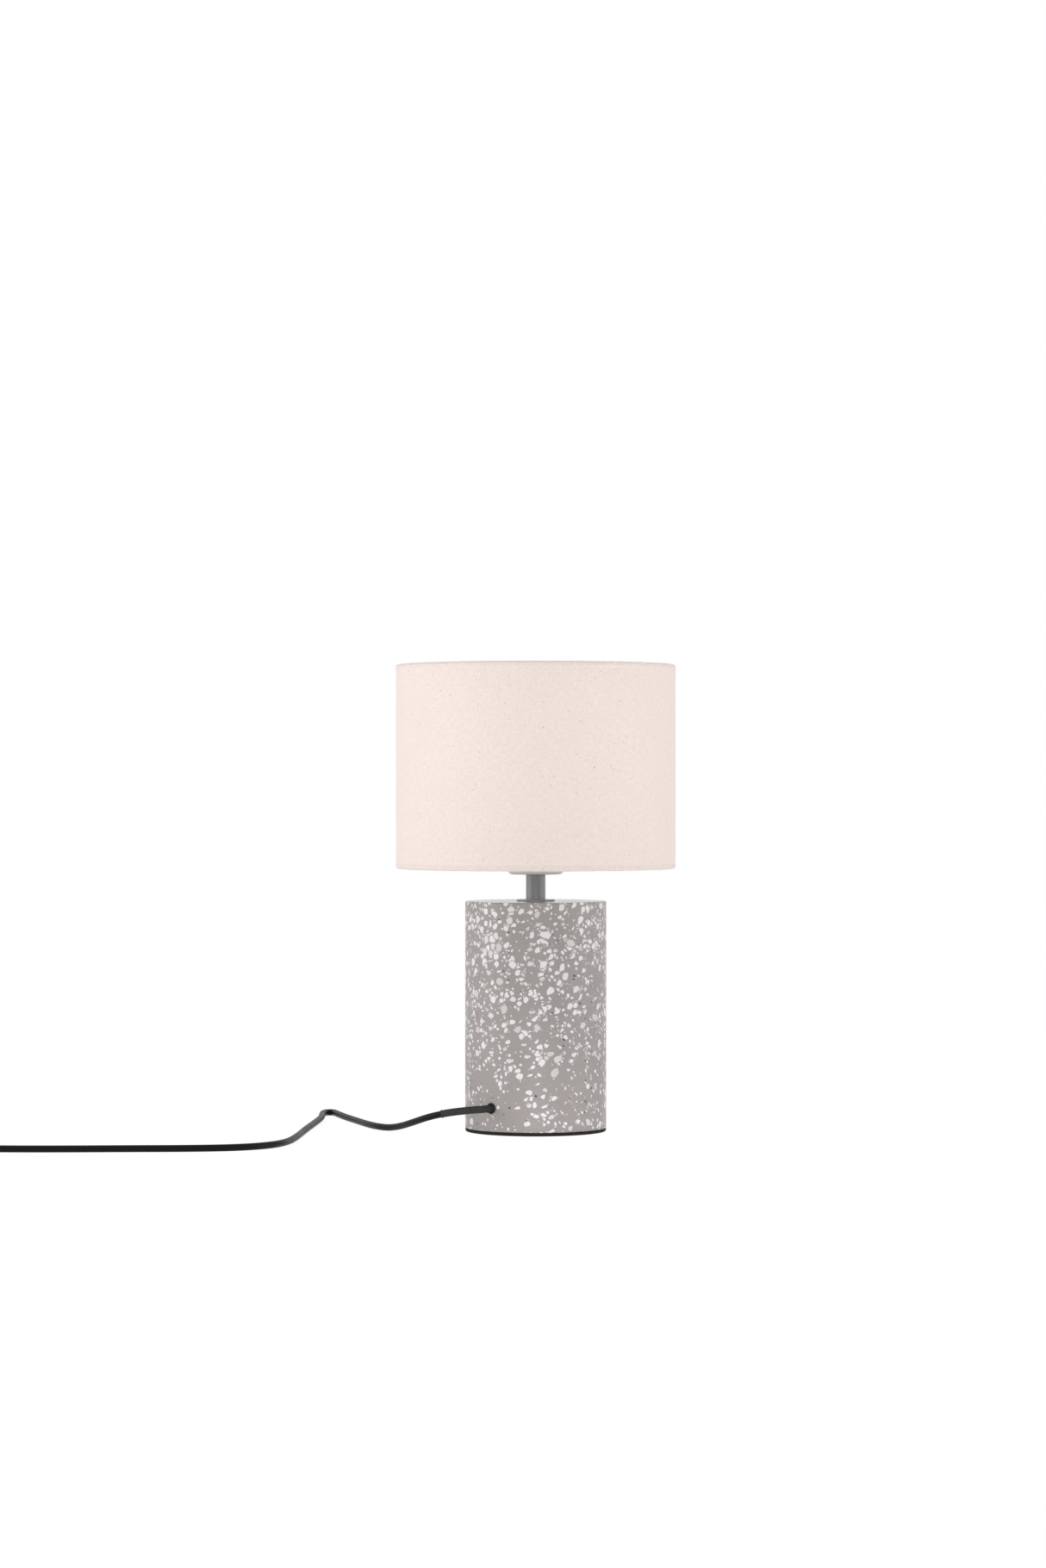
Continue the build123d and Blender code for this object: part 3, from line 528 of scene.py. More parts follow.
    def cement(self, graph: Graph, here: Socket, sand: Socket) -> Socket:
        """The cement's colour: the base colour, mottled and finely sanded.

        Args:
            graph: the material's graph.
            here: where it is read.
            sand: the fine grain.

        Returns:
            The colour's socket.
        """
        tone = graph.math("MULTIPLY_ADD", sand, self.sand_tone, self.darkest)
        tone = graph.math("MULTIPLY_ADD", graph.noise(here, *self.mottle), self.mottle_tone, tone)
        return graph.toned(self.colour, tone)

    def surface(self, graph: Graph) -> Surface:
        """Build what changes over the surface: chips laid over cement, fine to coarse.

        Args:
            graph: the material's graph.

        Returns:
            The colour, the roughness and the height.
        """
        here = graph.here()
        wavy = graph.ragged(here, self.warp_scale, self.warp)
        height = graph.node("SeparateXYZ", {0: here}).outputs["Z"]
        squat = graph.node("VectorMath", {0: here, 1: self.drift_squat}, operation="MULTIPLY").outputs[0]
        drift = graph.noise(squat, self.drift_scale, detail=1.0)
        drift = graph.step(drift, *self.drift_range, *self.drift_crowd)
        sand = graph.noise(here, *self.sand)
        cement = self.cement(graph, here, sand)
        colour, cover = cement, 0.0
        for layer in self.layers:
            rise = graph.step(height, self.bottom, self.top, layer.thin, 1.0)
            crowd = graph.math("MULTIPLY", rise, drift)
            chip, round_it, draw = self.chips(graph, wavy, layer, crowd)
            tint = graph.mix(graph.step(draw, 0.0, self.dull_share), self.chip_dull, self.chip)
            tint = graph.mix(graph.math("GREATER_THAN", draw, self.blush_from), tint, self.blush)
            colour = graph.mix(chip, graph.mix(round_it, colour, cement), tint)
            cover = graph.math("MAXIMUM", graph.outside(cover, round_it), chip)
        speck, _ = graph.spots(wavy, self.specks)
        colour = graph.mix(graph.outside(speck, cover), colour, self.speck)
        # Painted shade: the pinholes are darkened towards the specks' colour, in place of the shade inside
        # them.
        hole, _ = graph.spots(here, self.pinholes)
        painted_hole_shade = graph.math("MULTIPLY", graph.outside(hole, cover), self.pinhole_painted_shade)
        colour = graph.mix(painted_hole_shade, colour, self.speck)
        uneven = graph.math("MULTIPLY_ADD", sand, self.gloss_change, self.gloss)
        uneven = graph.math("MULTIPLY_ADD", cover, -self.chip_polish, uneven)
        wall = graph.step(height, self.honed, self.honed + self.honed_edge, 1.0, 0.0)
        sheen = graph.math("MULTIPLY_ADD", wall, 1 - self.honed_gloss, self.honed_gloss)
        bumps = graph.math("MULTIPLY_ADD", hole, -self.hole_depth, sand)
        return colour, graph.math("MULTIPLY", uneven, sheen), graph.math("MULTIPLY", bumps, wall)


@dataclass(frozen=True)
class Cotton(Finish):
    """Unbleached cotton in a plain weave, with uneven threads, a few seed specks and painted shade on its
    rolled hems.

    Attributes:
        uv_map: the map that follows the cloth, 0 to 1 along and across the strip.
        strip: the strip's length and width in metres.
        thread: from one thread to the next.
        thread_run: how many times longer than wide a thick or thin place in a thread is.
        slub: width of a thick place in the yarn.
        slub_run: how many times longer than wide it is.
        slub_tone: how much such a place changes the colour.
        yarn: detail and roughness of these places.
        relief: how far a crossing of two threads stands out, in depths of the bump.
        mottle: scale and detail of the cloth's clouds.
        mottle_tone: how much a cloud changes the colour.
        hem: from where to where, in from the strip's edge, the cloth leaves the hoop for the liner.
        hem_painted_shade: share of the colour that is left where the cloth rolls over the hoop, as painted
            shade on the hems.
        ragged: how far a seed speck's outline is pushed out of round.
        ragged_scale: waves of that push in a metre.
        nep: a seed speck's colour.
        seeds: the seed specks.
        faint_seeds: more seed specks, a little smaller and partly hidden by thread.
        hidden: how much of those is hidden.
    """

    uv_map: str = "cloth"
    strip: tuple[float, float] = (0.6387, 0.1569)
    thread: float = 0.00055
    thread_run: float = 16.0
    slub: float = 0.0009
    slub_run: float = 4.0
    slub_tone: float = 0.22
    yarn: tuple[float, float] = (2.0, 0.6)
    relief: float = 0.6
    mottle: tuple[float, float] = (40.0, 3.0)
    mottle_tone: float = 0.025
    hem: tuple[float, float] = (0.0092, 0.0098)
    hem_painted_shade: float = 0.96
    ragged: float = 0.0011
    ragged_scale: float = 1300.0
    nep: Colour = srgb(186, 166, 150)
    seeds: Spots = Spots(scale=190.0, share=0.08, least=0.05, spread=0.05, soft=0.05)
    faint_seeds: Spots = Spots(scale=380.0, share=0.14, least=0.09, spread=0.09, soft=0.09)
    hidden: float = 0.45

    def streaks(self, graph: Graph, along: Socket, across: Socket, width: float, run: float) -> list[Socket]:
        """Thick and thin places of the threads, first of those along the cloth, then of those across.

        Args:
            graph: the material's graph.
            along: metres along the cloth.
            across: metres across it.
            width: how wide such a place is.
            run: how many times longer than wide it is.

        Returns:
            Values about 0 that change from thread to thread and more slowly along each.
        """
        values = []
        for lengthways, sideways in ((along, across), (across, along)):
            slow = graph.math("DIVIDE", lengthways, run)
            stretched = graph.node("CombineXYZ", {"X": slow, "Y": sideways}).outputs[0]
            values.append(graph.math("SUBTRACT", graph.noise(stretched, 1 / width, *self.yarn), 0.5))
        return values

    def surface(self, graph: Graph) -> Surface:
        """Build what changes over the surface: threads, painted shade on the hems, and seed specks.

        Args:
            graph: the material's graph.

        Returns:
            The colour, the roughness and the height.
        """
        cloth = graph.node("UVMap", uv_map=self.uv_map).outputs[0]
        place = graph.node("SeparateXYZ", {0: cloth}).outputs
        along = graph.math("MULTIPLY", place["X"], self.strip[0])
        across = graph.math("MULTIPLY", place["Y"], self.strip[1])
        flat = graph.node("CombineXYZ", {"X": along, "Y": across}).outputs[0]
        weft, warp = self.streaks(graph, along, across, self.thread, self.thread_run)
        uneven = graph.math("ADD", weft, warp)
        turns = [graph.math("MULTIPLY", way, math.pi / self.thread) for way in (along, across)]
        crossing = graph.math("MULTIPLY", *(graph.math("SINE", turn) for turn in turns))
        weave = graph.math("MULTIPLY_ADD", graph.math("ABSOLUTE", crossing), self.relief, uneven)
        slubs = graph.math("ADD", *self.streaks(graph, along, across, self.slub, self.slub_run))
        cloud = graph.math("SUBTRACT", graph.noise(flat, *self.mottle), 0.5)
        tone = graph.math("MULTIPLY_ADD", uneven, self.tone, 1.0)
        tone = graph.math("MULTIPLY_ADD", slubs, self.slub_tone, tone)
        tone = graph.math("MULTIPLY_ADD", cloud, self.mottle_tone, tone)
        # Painted shade: the cloth is darkened in a band along both edges of the strip, where it rolls over
        # the hoops.
        inset = graph.math("MINIMUM", across, graph.math("SUBTRACT", self.strip[1], across))
        tone = graph.math("MULTIPLY", tone, graph.step(inset, *self.hem, self.hem_painted_shade, 1.0))
        colour = graph.toned(self.colour, tone)
        torn = graph.ragged(flat, self.ragged_scale, self.ragged)
        faint = graph.mix(self.hidden, self.nep, self.colour)
        for seeds, tint in ((self.seeds, self.nep), (self.faint_seeds, faint)):
            seed, strength = graph.spots(torn, seeds)
            colour = graph.mix(graph.math("MULTIPLY", seed, strength), colour, tint)
        return colour, graph.math("MULTIPLY_ADD", weft, self.gloss_change, self.gloss), weave


@dataclass(frozen=True)
class OpalGlass(Finish):
    """White diffusing globe of a bulb, a little see-through.

    Attributes:
        through: share of the light that goes under the surface.
        depth: how far it goes.
    """

    through: float = 0.3
    depth: float = 0.004

    def paint(self) -> bpy.types.Material:
        """Build the material from the plain finish, with some light let through.

        Returns:
            The material.
        """
        made = super().paint()
        shader = made.node_tree.nodes["Principled BSDF"].inputs
        shader["Subsurface Weight"].default_value = self.through
        shader["Subsurface Radius"].default_value = (self.depth, self.depth, self.depth)
        return made


TERRAZZO = Terrazzo("terrazzo", srgb(155, 149, 147), gloss_change=0.12, bump=0.00003)
COTTON = Cotton("shade_cotton", srgb(244, 230, 223), gloss=0.82, tone=0.10, bump=0.00006, sheen=0.15)
FOAM = Finish(
    "pad_foam",
    srgb(36, 33, 32),
    gloss=0.92,
    tone=0.35,
    grain=1800.0,
    cloud=120.0,
    bump=0.00012,
    specular=0.2,
)
SLEEVE = Finish(
    "sleeve_pvc",
    srgb(38, 37, 39),
    gloss=0.60,
    gloss_change=0.12,
    tone=0.22,
    grain=1500.0,
    cloud=90.0,
    specular=0.35,
)
JACKET = Finish(
    "cord_pvc",
    srgb(22, 22, 24),
    gloss=0.42,
    gloss_change=0.2,
    tone=0.25,
    grain=1600.0,
    cloud=60.0,
    specular=0.1,
)
TIE = Finish("tie_plastic", srgb(28, 28, 29), gloss=0.46, gloss_change=0.12, tone=0.2)

# What the switch and the plug share, and what the bare metals share.
MOULDED = {"gloss_change": 0.12, "tone": 0.2, "cloud": 60.0, "dust": 0.05}
METAL = {"grain": 500.0, "metallic": 1.0}

SWITCH = Finish("switch_black", srgb(32, 32, 33), gloss=0.46, grain=2200.0, bump=0.00004, **MOULDED)
PLUG = Finish("plug_pvc", srgb(34, 34, 35), gloss=0.52, grain=1800.0, bump=0.00003, **MOULDED)

FINISHES: tuple[Finish, ...] = (
    TERRAZZO,
    COTTON,
    FOAM,
    SLEEVE,
    JACKET,
    TIE,
    SWITCH,
    PLUG,
    Finish(
        "black_rubber",
        srgb(30, 30, 31),
        gloss=0.62,
        gloss_change=0.12,
        tone=0.25,
        grain=1200.0,
        cloud=80.0,
    ),
    Finish("natural_nylon", srgb(226, 220, 206), gloss=0.42),
    Finish("zinc_steel", srgb(186, 190, 192), gloss=0.36, gloss_change=0.22, tone=0.12, cloud=160.0, **METAL),
    Finish(
        "grey_paint",
        srgb(150, 151, 154),
        gloss=0.34,
        tone=0.06,
        grain=1100.0,
        cloud=60.0,
        bump=0.000012,
        coat=0.25,
    ),
    Finish("holder_white", srgb(246, 241, 236), gloss=0.36, tone=0.04),
    Finish(
        "holder_ceramic",
        srgb(238, 235, 228),
        gloss=0.28,
        gloss_change=0.12,
        tone=0.05,
        grain=600.0,
        cloud=70.0,
    ),
    Finish("brass", srgb(206, 172, 104), gloss=0.30, gloss_change=0.18, tone=0.14, cloud=140.0, **METAL),
    Finish("lead_brown", srgb(104, 66, 44), gloss=0.48),
    Finish("lead_blue", srgb(58, 96, 158), gloss=0.48),
    Finish(
        "shade_film",
        srgb(240, 236, 230),
        gloss=0.32,
        gloss_change=0.12,
        tone=0.03,
        grain=400.0,
        cloud=30.0,
        bump=0.00001,
    ),
    Finish(
        "white_wire",
        srgb(236, 234, 229),
        gloss=0.38,
        gloss_change=0.12,
        tone=0.05,
        grain=800.0,
        cloud=90.0,
    ),
    Finish("black_glass", srgb(26, 26, 28), gloss=0.18, gloss_change=0.08),
    Finish("bulb_metal", srgb(200, 201, 200), gloss=0.28, gloss_change=0.2, tone=0.1, cloud=160.0, **METAL),
    Finish("bulb_white", srgb(238, 237, 233), gloss=0.40, tone=0.03),
    OpalGlass(
        "bulb_opal",
        srgb(246, 244, 240),
        gloss=0.46,
        gloss_change=0.08,
        tone=0.02,
        grain=700.0,
        bump=0.00001,
    ),
    Finish(
        "plated_brass",
        srgb(204, 203, 198),
        gloss=0.24,
        gloss_change=0.16,
        tone=0.1,
        cloud=160.0,
        **METAL,
    ),
)


def dress_frame() -> None:
    """Give every node of the frame the finish of its material slot."""
    by_slot = {finish.slot: finish for finish in FINISHES}
    for part in frame["record"]["subparts"]:
        for slot in frame["nodes"][part["node"]].material_slots:
            slot.material = by_slot[part["material_slot"]].material()


def deselect() -> None:
    """Go to object mode and select nothing."""
    if bpy.context.object and bpy.context.object.mode != "OBJECT":
        bpy.ops.object.mode_set(mode="OBJECT")
    bpy.ops.object.select_all(action="DESELECT")


def hold(piece: Piece, *others: Piece) -> None:
    """Select nothing but some pieces, and make the first one active.

    Args:
        piece: the piece to work on.
        others: pieces that are selected with it.
    """
    deselect()
    for held in (piece, *others):
        held.select_set(True)
    bpy.context.view_layer.objects.active = piece


def linked(name: str, data: bpy.types.ID) -> Piece:
    """Put a curve, a lamp or a camera into the scene.

    Args:
        name: its name.
        data: what it is.

    Returns:
        The object.
    """
    made = bpy.data.objects.new(name, data)
    bpy.context.scene.collection.objects.link(made)
    return made


def added(name: str) -> Piece:
    """Name the piece that was just added.

    Args:
        name: its name.

    Returns:
        The piece.
    """
    piece = bpy.context.object
    piece.name = piece.data.name = name
    return piece


def settle(piece: Piece) -> None:
    """Move a piece's place, turn and size into its mesh."""
    hold(piece)
    bpy.ops.object.transform_apply(location=True, rotation=True, scale=True)


def modify(piece: Piece, kind: str, **settings: Any) -> None:
    """Add a modifier to a piece and apply it.

    Args:
        piece: the piece.
        kind: the modifier's type.
        settings: its properties.
    """
    hold(piece)
    modifier = piece.modifiers.new(kind.lower(), kind)
    for name, value in settings.items():
        setattr(modifier, name, value)
    bpy.ops.object.modifier_apply(modifier=modifier.name)


def smooth(piece: Piece, angle: float = HARD_EDGE) -> None:
    """Shade a piece smooth, apart from edges sharper than some degrees."""
    hold(piece)
    bpy.ops.object.shade_smooth_by_angle(angle=math.radians(angle))


def pick(piece: Piece, kind: Element, test: Callable[[Any], bool]) -> None:
    """Go to edit mode with the points, edges or faces that pass a test selected.

    Args:
        piece: the piece.
        kind: what is selected.
        test: true for each one to select.
    """
    hold(piece)
    bpy.ops.object.mode_set(mode="EDIT")
    bpy.ops.mesh.select_mode(type=kind.value)
    bpy.ops.mesh.select_all(action="DESELECT")
    bpy.ops.object.mode_set(mode="OBJECT")
    mesh = piece.data
    elements = {Element.POINT: mesh.vertices, Element.EDGE: mesh.edges, Element.FACE: mesh.polygons}
    for element in elements[kind]:
        element.select = test(element)
    bpy.ops.object.mode_set(mode="EDIT")


def arc(centre: tuple[float, float], radius: float, start: float, end: float, steps: int) -> Profile:
    """Points along an arc of an outline.

    Args:
        centre: the arc's middle.
        radius: of the arc.
        start: degrees at which it starts, 0 outwards and 90 up.
        end: degrees at which it ends.
        steps: how many stretches it has.

    Returns:
        The points, both ends included.
    """
    turns = [math.radians(start + (end - start) * step / steps) for step in range(steps + 1)]
    return [(centre[0] + radius * math.cos(turn), centre[1] + radius * math.sin(turn)) for turn in turns]


def block(name: str, middle: Place, size: Place, turn: Point = (0.0, 0.0, 0.0)) -> Piece:
    """A plain block.

    Args:
        name: the piece's name.
        middle: where its middle is.
        size: its size along each axis.
        turn: how it is turned about each axis.

    Returns:
        The piece.
    """
    deselect()
    bpy.ops.mesh.primitive_cube_add(size=1.0, location=middle, rotation=turn)
    piece = added(name)
    piece.scale = size
    settle(piece)
    return piece


def turned(name: str, outline: Profile, segments: int) -> Piece:
    """A turned shape about the Z axis: a ring extruded and resized from point to point of an outline.

    Args:
        name: the piece's name.
        outline: radius and level of each point. A closed outline ends where it starts.
        segments: sides of the ring.

    Returns:
        The piece. Open ends are filled.
    """
    deselect()
    radius, level = outline[0]
    bpy.ops.mesh.primitive_circle_add(vertices=segments, radius=radius, location=(0, 0, level))
    piece = added(name)
    settle(piece)
    bpy.ops.object.mode_set(mode="EDIT")
    bpy.ops.mesh.select_mode(type="EDGE")
    bpy.ops.mesh.select_all(action="SELECT")
    for next_radius, next_level in outline[1:]:
        rise = (0, 0, next_level - level)
        bpy.ops.mesh.extrude_edges_move(TRANSFORM_OT_translate={"value": rise})
        widen = next_radius / radius
        bpy.ops.transform.resize(value=(widen, widen, 1), center_override=(0, 0, next_level))
        radius, level = next_radius, next_level
    bpy.ops.mesh.select_all(action="SELECT")
    bpy.ops.mesh.remove_doubles(threshold=MERGE)
    bpy.ops.mesh.select_all(action="SELECT")
    bpy.ops.mesh.fill_holes(sides=0)
    bpy.ops.mesh.select_all(action="SELECT")
    bpy.ops.mesh.normals_make_consistent(inside=False)
    bpy.ops.object.mode_set(mode="OBJECT")
    return piece


def strap(name: str, low: Vector, high: Vector, axis: int, corner: float, thickness: float) -> Piece:
    """A flat band round a box, its corners rounded and its edges broken.

    Args:
        name: the piece's name.
        low: the box's low corner.
        high: the box's high corner.
        axis: the axis that the band goes round, 0 for X.
        corner: the outer radius of its corners.
        thickness: of the band, inwards from the box.

    Returns:
        The piece.
    """
    piece = block(name, (low + high) / 2, high - low)

    def is_corner(edge: bpy.types.MeshEdge) -> bool:
        """True for the edges that run across the band."""
        here, there = (piece.data.vertices[end].co for end in edge.vertices)
        return abs(here[axis] - there[axis]) > (high[axis] - low[axis]) / 2

    pick(piece, Element.FACE, lambda face: round(abs(face.normal[axis])) == 1)
    bpy.ops.mesh.delete(type="ONLY_FACE")
    pick(piece, Element.EDGE, is_corner)
    bpy.ops.mesh.bevel(offset=corner, segments=8, affect="EDGES")
    modify(piece, "SOLIDIFY", thickness=thickness, offset=-1.0)
    modify(piece, "BEVEL", width=thickness / 5, segments=2)
    return piece


def tube(
    name: str, course: Course, points: list[Place], radius: float, steps: int
) -> tuple[Piece, bpy.types.Spline]:
    """A round tube along a line, as a curve.

    Args:
        name: the curve's name.
        course: how the line goes through its points.
        points: the line's points.
        radius: the tube's radius, or 0 for the bare line.
        steps: how finely the tube is rounded.

    Returns:
        The tube, and the spline that it follows.
    """
    curve = bpy.data.curves.new(name, "CURVE")
    curve.dimensions = "3D"
    curve.bevel_depth = radius
    curve.bevel_resolution = steps
    curve.use_fill_caps = True
    line = curve.splines.new(course.value)
    line.points.add(len(points) - 1)
    for target, point in zip(line.points, points):
        target.co = (*point, 1.0)
    return linked(name, curve), line


def fit_out(piece: Piece, finish: Finish, body: Body, *nodes: str) -> Piece:
    """Dress a finished piece, mount it on its body and hide the frame's nodes that it replaces.

    Args:
        piece: the piece.
        finish: its finish.
        body: what it moves with.
        nodes: the frame's nodes that it replaces.

    Returns:
        The piece.
    """
    piece.data.materials.clear()
    piece.data.materials.append(finish.material())
    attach(piece, body.value)
    if nodes:
        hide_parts(*nodes)
    return piece


@dataclass
class Base:
    """The cast terrazzo base, its arrises a little worn, on a foam pad.

    Attributes:
        arris: radius of the base's outer edges.
        arris_steps: stretches round an arris.
        land: width of the narrow faces beside an arris.
        wear: how far the arrises are worn away or stand out.
        wear_seed: picks the wear.
        rod_hole: radius of the hole for the threaded rod.
        recess: radius of the recess underneath.
        recess_depth: how far up the recess goes.
        lead_hole: radius of the lead's hole.
        hole_sides: sides of that hole.
        segments: sides of the base and the pad.
        pad_shoulder: radius of the pad's lower edge.
        pad_steps: stretches round that edge.
        pad_lip: how far the pad's upper edge is cut back.
        pad_bulge: how far the pad's squeezed side stands out.
        pad_land: width of the outer ring of the pad's flat faces.
        pad_core: radius of the ring that those faces start from.
    """

    arris: float = 0.6 * MM
    arris_steps: int = 4
    land: float = 2.4 * MM
    wear: float = 0.10 * MM
    wear_seed: int = 7
    rod_hole: float = 5.2 * MM
    recess: float = 32.0 * MM
    recess_depth: float = 48.0 * MM
    lead_hole: float = 4.0 * MM
    hole_sides: int = 48
    segments: int = 192
    pad_shoulder: float = 0.9 * MM
    pad_steps: int = 5
    pad_lip: float = 0.225 * MM
    pad_bulge: float = 0.15 * MM
    pad_land: float = 5.4 * MM
    pad_core: float = 4.0 * MM

    def stone(self) -> Piece:
        """The base itself, with its recess and holes.

        Returns:
            The piece.
        """
        low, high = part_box("terrazzo_base")
        radius, bottom, top = high[0], low[2], high[2]
        shoulder = radius - self.arris
        recess_top = bottom + self.recess_depth
        outline = [
            (self.rod_hole, top),
            (shoulder - self.land, top),
            *arc((shoulder, top - self.arris), self.arris, 90, 0, self.arris_steps),
            (radius, top - self.arris - self.land),
            (radius, bottom + self.arris + self.land),
            *arc((shoulder, bottom + self.arris), self.arris, 0, -90, self.arris_steps),
            (shoulder - self.land, bottom),
            (self.recess, bottom),
            (self.recess, recess_top),
            (self.rod_hole, recess_top),
            (self.rod_hole, top),
        ]
        piece = turned("terrazzo_body", outline, self.segments)
        self.drill(piece, radius)
        self.wear_arrises(piece, shoulder, bottom, top)
        smooth(piece)
        return fit_out(piece, TERRAZZO, Body.LAMP, "terrazzo_base")

    def drill(self, piece: Piece, radius: float) -> None:
        """Drill the lead's hole through the wall into the recess.

        Args:
            piece: the base.
            radius: the base's radius.
        """
        outward = Vector((*LEAD_EXIT[:2], 0)).normalized()
        start, end = self.recess - self.lead_hole, radius + self.lead_hole
        deselect()
        bpy.ops.mesh.primitive_cylinder_add(
            vertices=self.hole_sides,
            radius=self.lead_hole,
            depth=end - start,
            location=outward * (start + end) / 2 + Vector((0, 0, LEAD_EXIT[2])),
            rotation=outward.to_track_quat("Z", "Y").to_euler(),
        )
        drill = added("lead_hole_drill")
        modify(piece, "BOOLEAN", operation="DIFFERENCE", object=drill, solver="EXACT")
        bpy.data.objects.remove(drill)

    def wear_arrises(self, piece: Piece, shoulder: float, bottom: float, top: float) -> None:
        """Wear the two outer arrises unevenly.

        Args:
            piece: the base.
            shoulder: radius at which the arrises start.
            bottom: the base's lower face.
            top: the base's upper face.
        """
        slack = self.arris / 100
        reach = self.arris + slack

        def on_arris(point: bpy.types.MeshVertex) -> bool:
            """True on the rounding of either arris."""
            outside = math.hypot(point.co.x, point.co.y) > shoulder - slack
            return outside and (point.co.z > top - reach or point.co.z < bottom + reach)

        pick(piece, Element.POINT, on_arris)
        bpy.ops.transform.vertex_random(offset=self.wear, uniform=0.0, normal=1.0, seed=self.wear_seed)
        bpy.ops.object.mode_set(mode="OBJECT")

    def pad(self) -> Piece:
        """The pad under the base, its side squeezed out a little by the weight.

        Returns:
            The piece.
        """
        low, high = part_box("base_pad")
        radius, bottom, top = high[0], low[2], high[2]
        shoulder = self.pad_shoulder
        outline = [
            (self.pad_core, bottom),
            (radius - self.pad_land, bottom),
            *arc((radius - shoulder, bottom + shoulder), shoulder, -90, 0, self.pad_steps),
            (radius + self.pad_bulge, (bottom + shoulder + top) / 2),
            (radius, top - self.pad_lip),
            (radius - self.pad_lip, top),
            (radius - self.pad_land, top),
            (self.pad_core, top),
        ]
        piece = turned("foam_pad", outline, self.segments)
        smooth(piece)
        fit_out(piece, FOAM, Body.LAMP, "base_pad")
        return piece

    def build(self) -> list[Piece]:
        """Make the base and its pad."""
        return [self.stone(), self.pad()]


@dataclass
class Shade:
    """The drum shade's cotton: a strip rolled round the liner, lapped behind and turned in over both hoops.

    Attributes:
        thickness: of the cotton.
        fold: outer radius of a rolled edge.
        skirt: how far the cotton goes on past a fold.
        lap: how far the strip's ends overlap.
        lap_turn: degrees round from +X at which the strip starts.
        lap_rise: how far before the lap the upper layer starts to rise.
        lap_lift: how far it rises, in thicknesses.
        columns: faces round the drum.
        wall_rows: faces up the wall.
        fold_rows: faces round a fold.
        bulge: how far the cotton stands out over a hoop.
        crease: height above the hoop's middle, and share of the bulge that is left there.
        pucker: how far the folds' small puckers stand out.
        pucker_length: from one pucker to the next.
        spoke_turns: degrees at which the spokes' legs pass through the lower hem.
        notch: half the width of the hem's notch for a leg.
        notch_drop: how far below the hoop's middle a notch goes.
        fold_middle: radius of the hoops' middle.
        bottom: level of the lower hoop's middle.
        top: level of the upper hoop's middle.
    """

    thickness: float = 0.5 * MM
    fold: float = 2.1 * MM
    skirt: float = 1.7 * MM
    lap: float = 12.0 * MM
    lap_turn: float = 70.0
    lap_rise: float = 5.0 * MM
    lap_lift: float = 1.1
    columns: int = 372
    wall_rows: int = 26
    fold_rows: int = 10
    bulge: float = 0.3 * MM
    crease: tuple[tuple[float, float], ...] = (
        (0.7 * MM, 0.85),
        (1.4 * MM, 0.45),
        (2.1 * MM, -0.25),
        (2.6 * MM, -0.30),
        (3.4 * MM, 0.0),
    )
    pucker: float = 0.22 * MM
    pucker_length: float = 5.0 * MM
    spoke_turns: tuple[float, ...] = (90.0, 210.0, 330.0)
    notch: float = 3.0 * MM
    notch_drop: float = 1.2 * MM
    fold_middle: float = field(init=False)
    bottom: float = field(init=False)
    top: float = field(init=False)

    def __post_init__(self) -> None:
        """Take the drum's size from the frame."""
        low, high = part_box("shade_fabric")
        self.fold_middle = high[0] - self.fold
        self.bottom = low[2] + self.fold
        self.top = high[2] - self.fold

    def outline(self, lift: float) -> Profile:
        """The middle of the cotton from the lower hem's edge to the upper hem's.

        Args:
            lift: how far the cotton stands off the drum.

        Returns:
            Radius and level of each row.
        """
        bend = self.fold - self.thickness / 2 + lift
        outside = self.fold_middle + bend
        start, end = self.crease[-1][0], self.top - self.bottom - self.crease[-1][0]
        rise = (end - start) / self.wall_rows
        rim = [
            (radius + self.bulge * max(0.0, (radius - self.fold_middle) / bend), level)
            for radius, level in arc((self.fold_middle, 0.0), bend, -180, 0, self.fold_rows)
        ]
        rim = [(self.fold_middle - bend, self.skirt), *rim]
        rim += [(outside + self.bulge * share, height) for height, share in self.crease]
        lower = [(radius, self.bottom + level) for radius, level in rim]
        upper = [(radius, self.top - level) for radius, level in reversed(rim)]
        wall = [(outside, self.bottom + start + rise * row) for row in range(1, self.wall_rows)]
        return [*lower, *wall, *upper]

    def flat_size(self) -> tuple[float, float]:
        """Measure the strip before it is rolled.

        Returns:
            Its length and width.
        """
        rows = self.outline(0.0)
        width = sum(map(math.dist, rows, rows[1:]))
        return 2 * math.pi * (self.fold_middle + self.fold - self.thickness / 2) + self.lap, width

    def lifted(self, along: float, row: int, rows: int, round_length: float) -> float:
        """How far the cotton stands off at one place.

        Args:
            along: metres along the strip.
            row: row of the outline.
            rows: rows in all.
            round_length: metres once round the drum.

        Returns:
            The lift.
        """
        climb = min(1.0, max(0.0, (along - round_length + self.lap_rise) / self.lap_rise))
        over = climb * climb * (3 - 2 * climb) * self.thickness * self.lap_lift
        in_fold = min(row, rows - 1 - row) <= self.fold_rows + 1
        if not in_fold:
            return over
        wave = noise.noise(Vector((along / self.pucker_length, row / self.fold_rows, 0.0)))
        return over + self.pucker * max(0.0, wave)

    def rolled(self, piece: Piece) -> None:
        """Roll the flat strip into the drum, and lay its UV map out as on the flat cloth.

        Args:
            piece: the strip, one unit each way.
        """
        length, width = self.flat_size()
        close, off = self.outline(0.0), self.outline(1.0)
        across = list(accumulate(map(math.dist, close, close[1:]), initial=0.0))
        round_length = length - self.lap
        start = math.radians(self.lap_turn)
        row_of = [round((point.co.y + 0.5) * (len(close) - 1)) for point in piece.data.vertices]
        for loop, place in zip(piece.data.loops, piece.data.uv_layers.active.data):
            place.uv.y = across[row_of[loop.vertex_index]] / width
        for point, row in zip(piece.data.vertices, row_of):
            along = (point.co.x + 0.5) * length
            lift = self.lifted(along, row, len(close), round_length)
            radius = close[row][0] + lift * (off[row][0] - close[row][0])
            level = close[row][1] + lift * (off[row][1] - close[row][1])
            turn = start + 2 * math.pi * along / round_length
            point.co = (radius * math.cos(turn), radius * math.sin(turn), level)

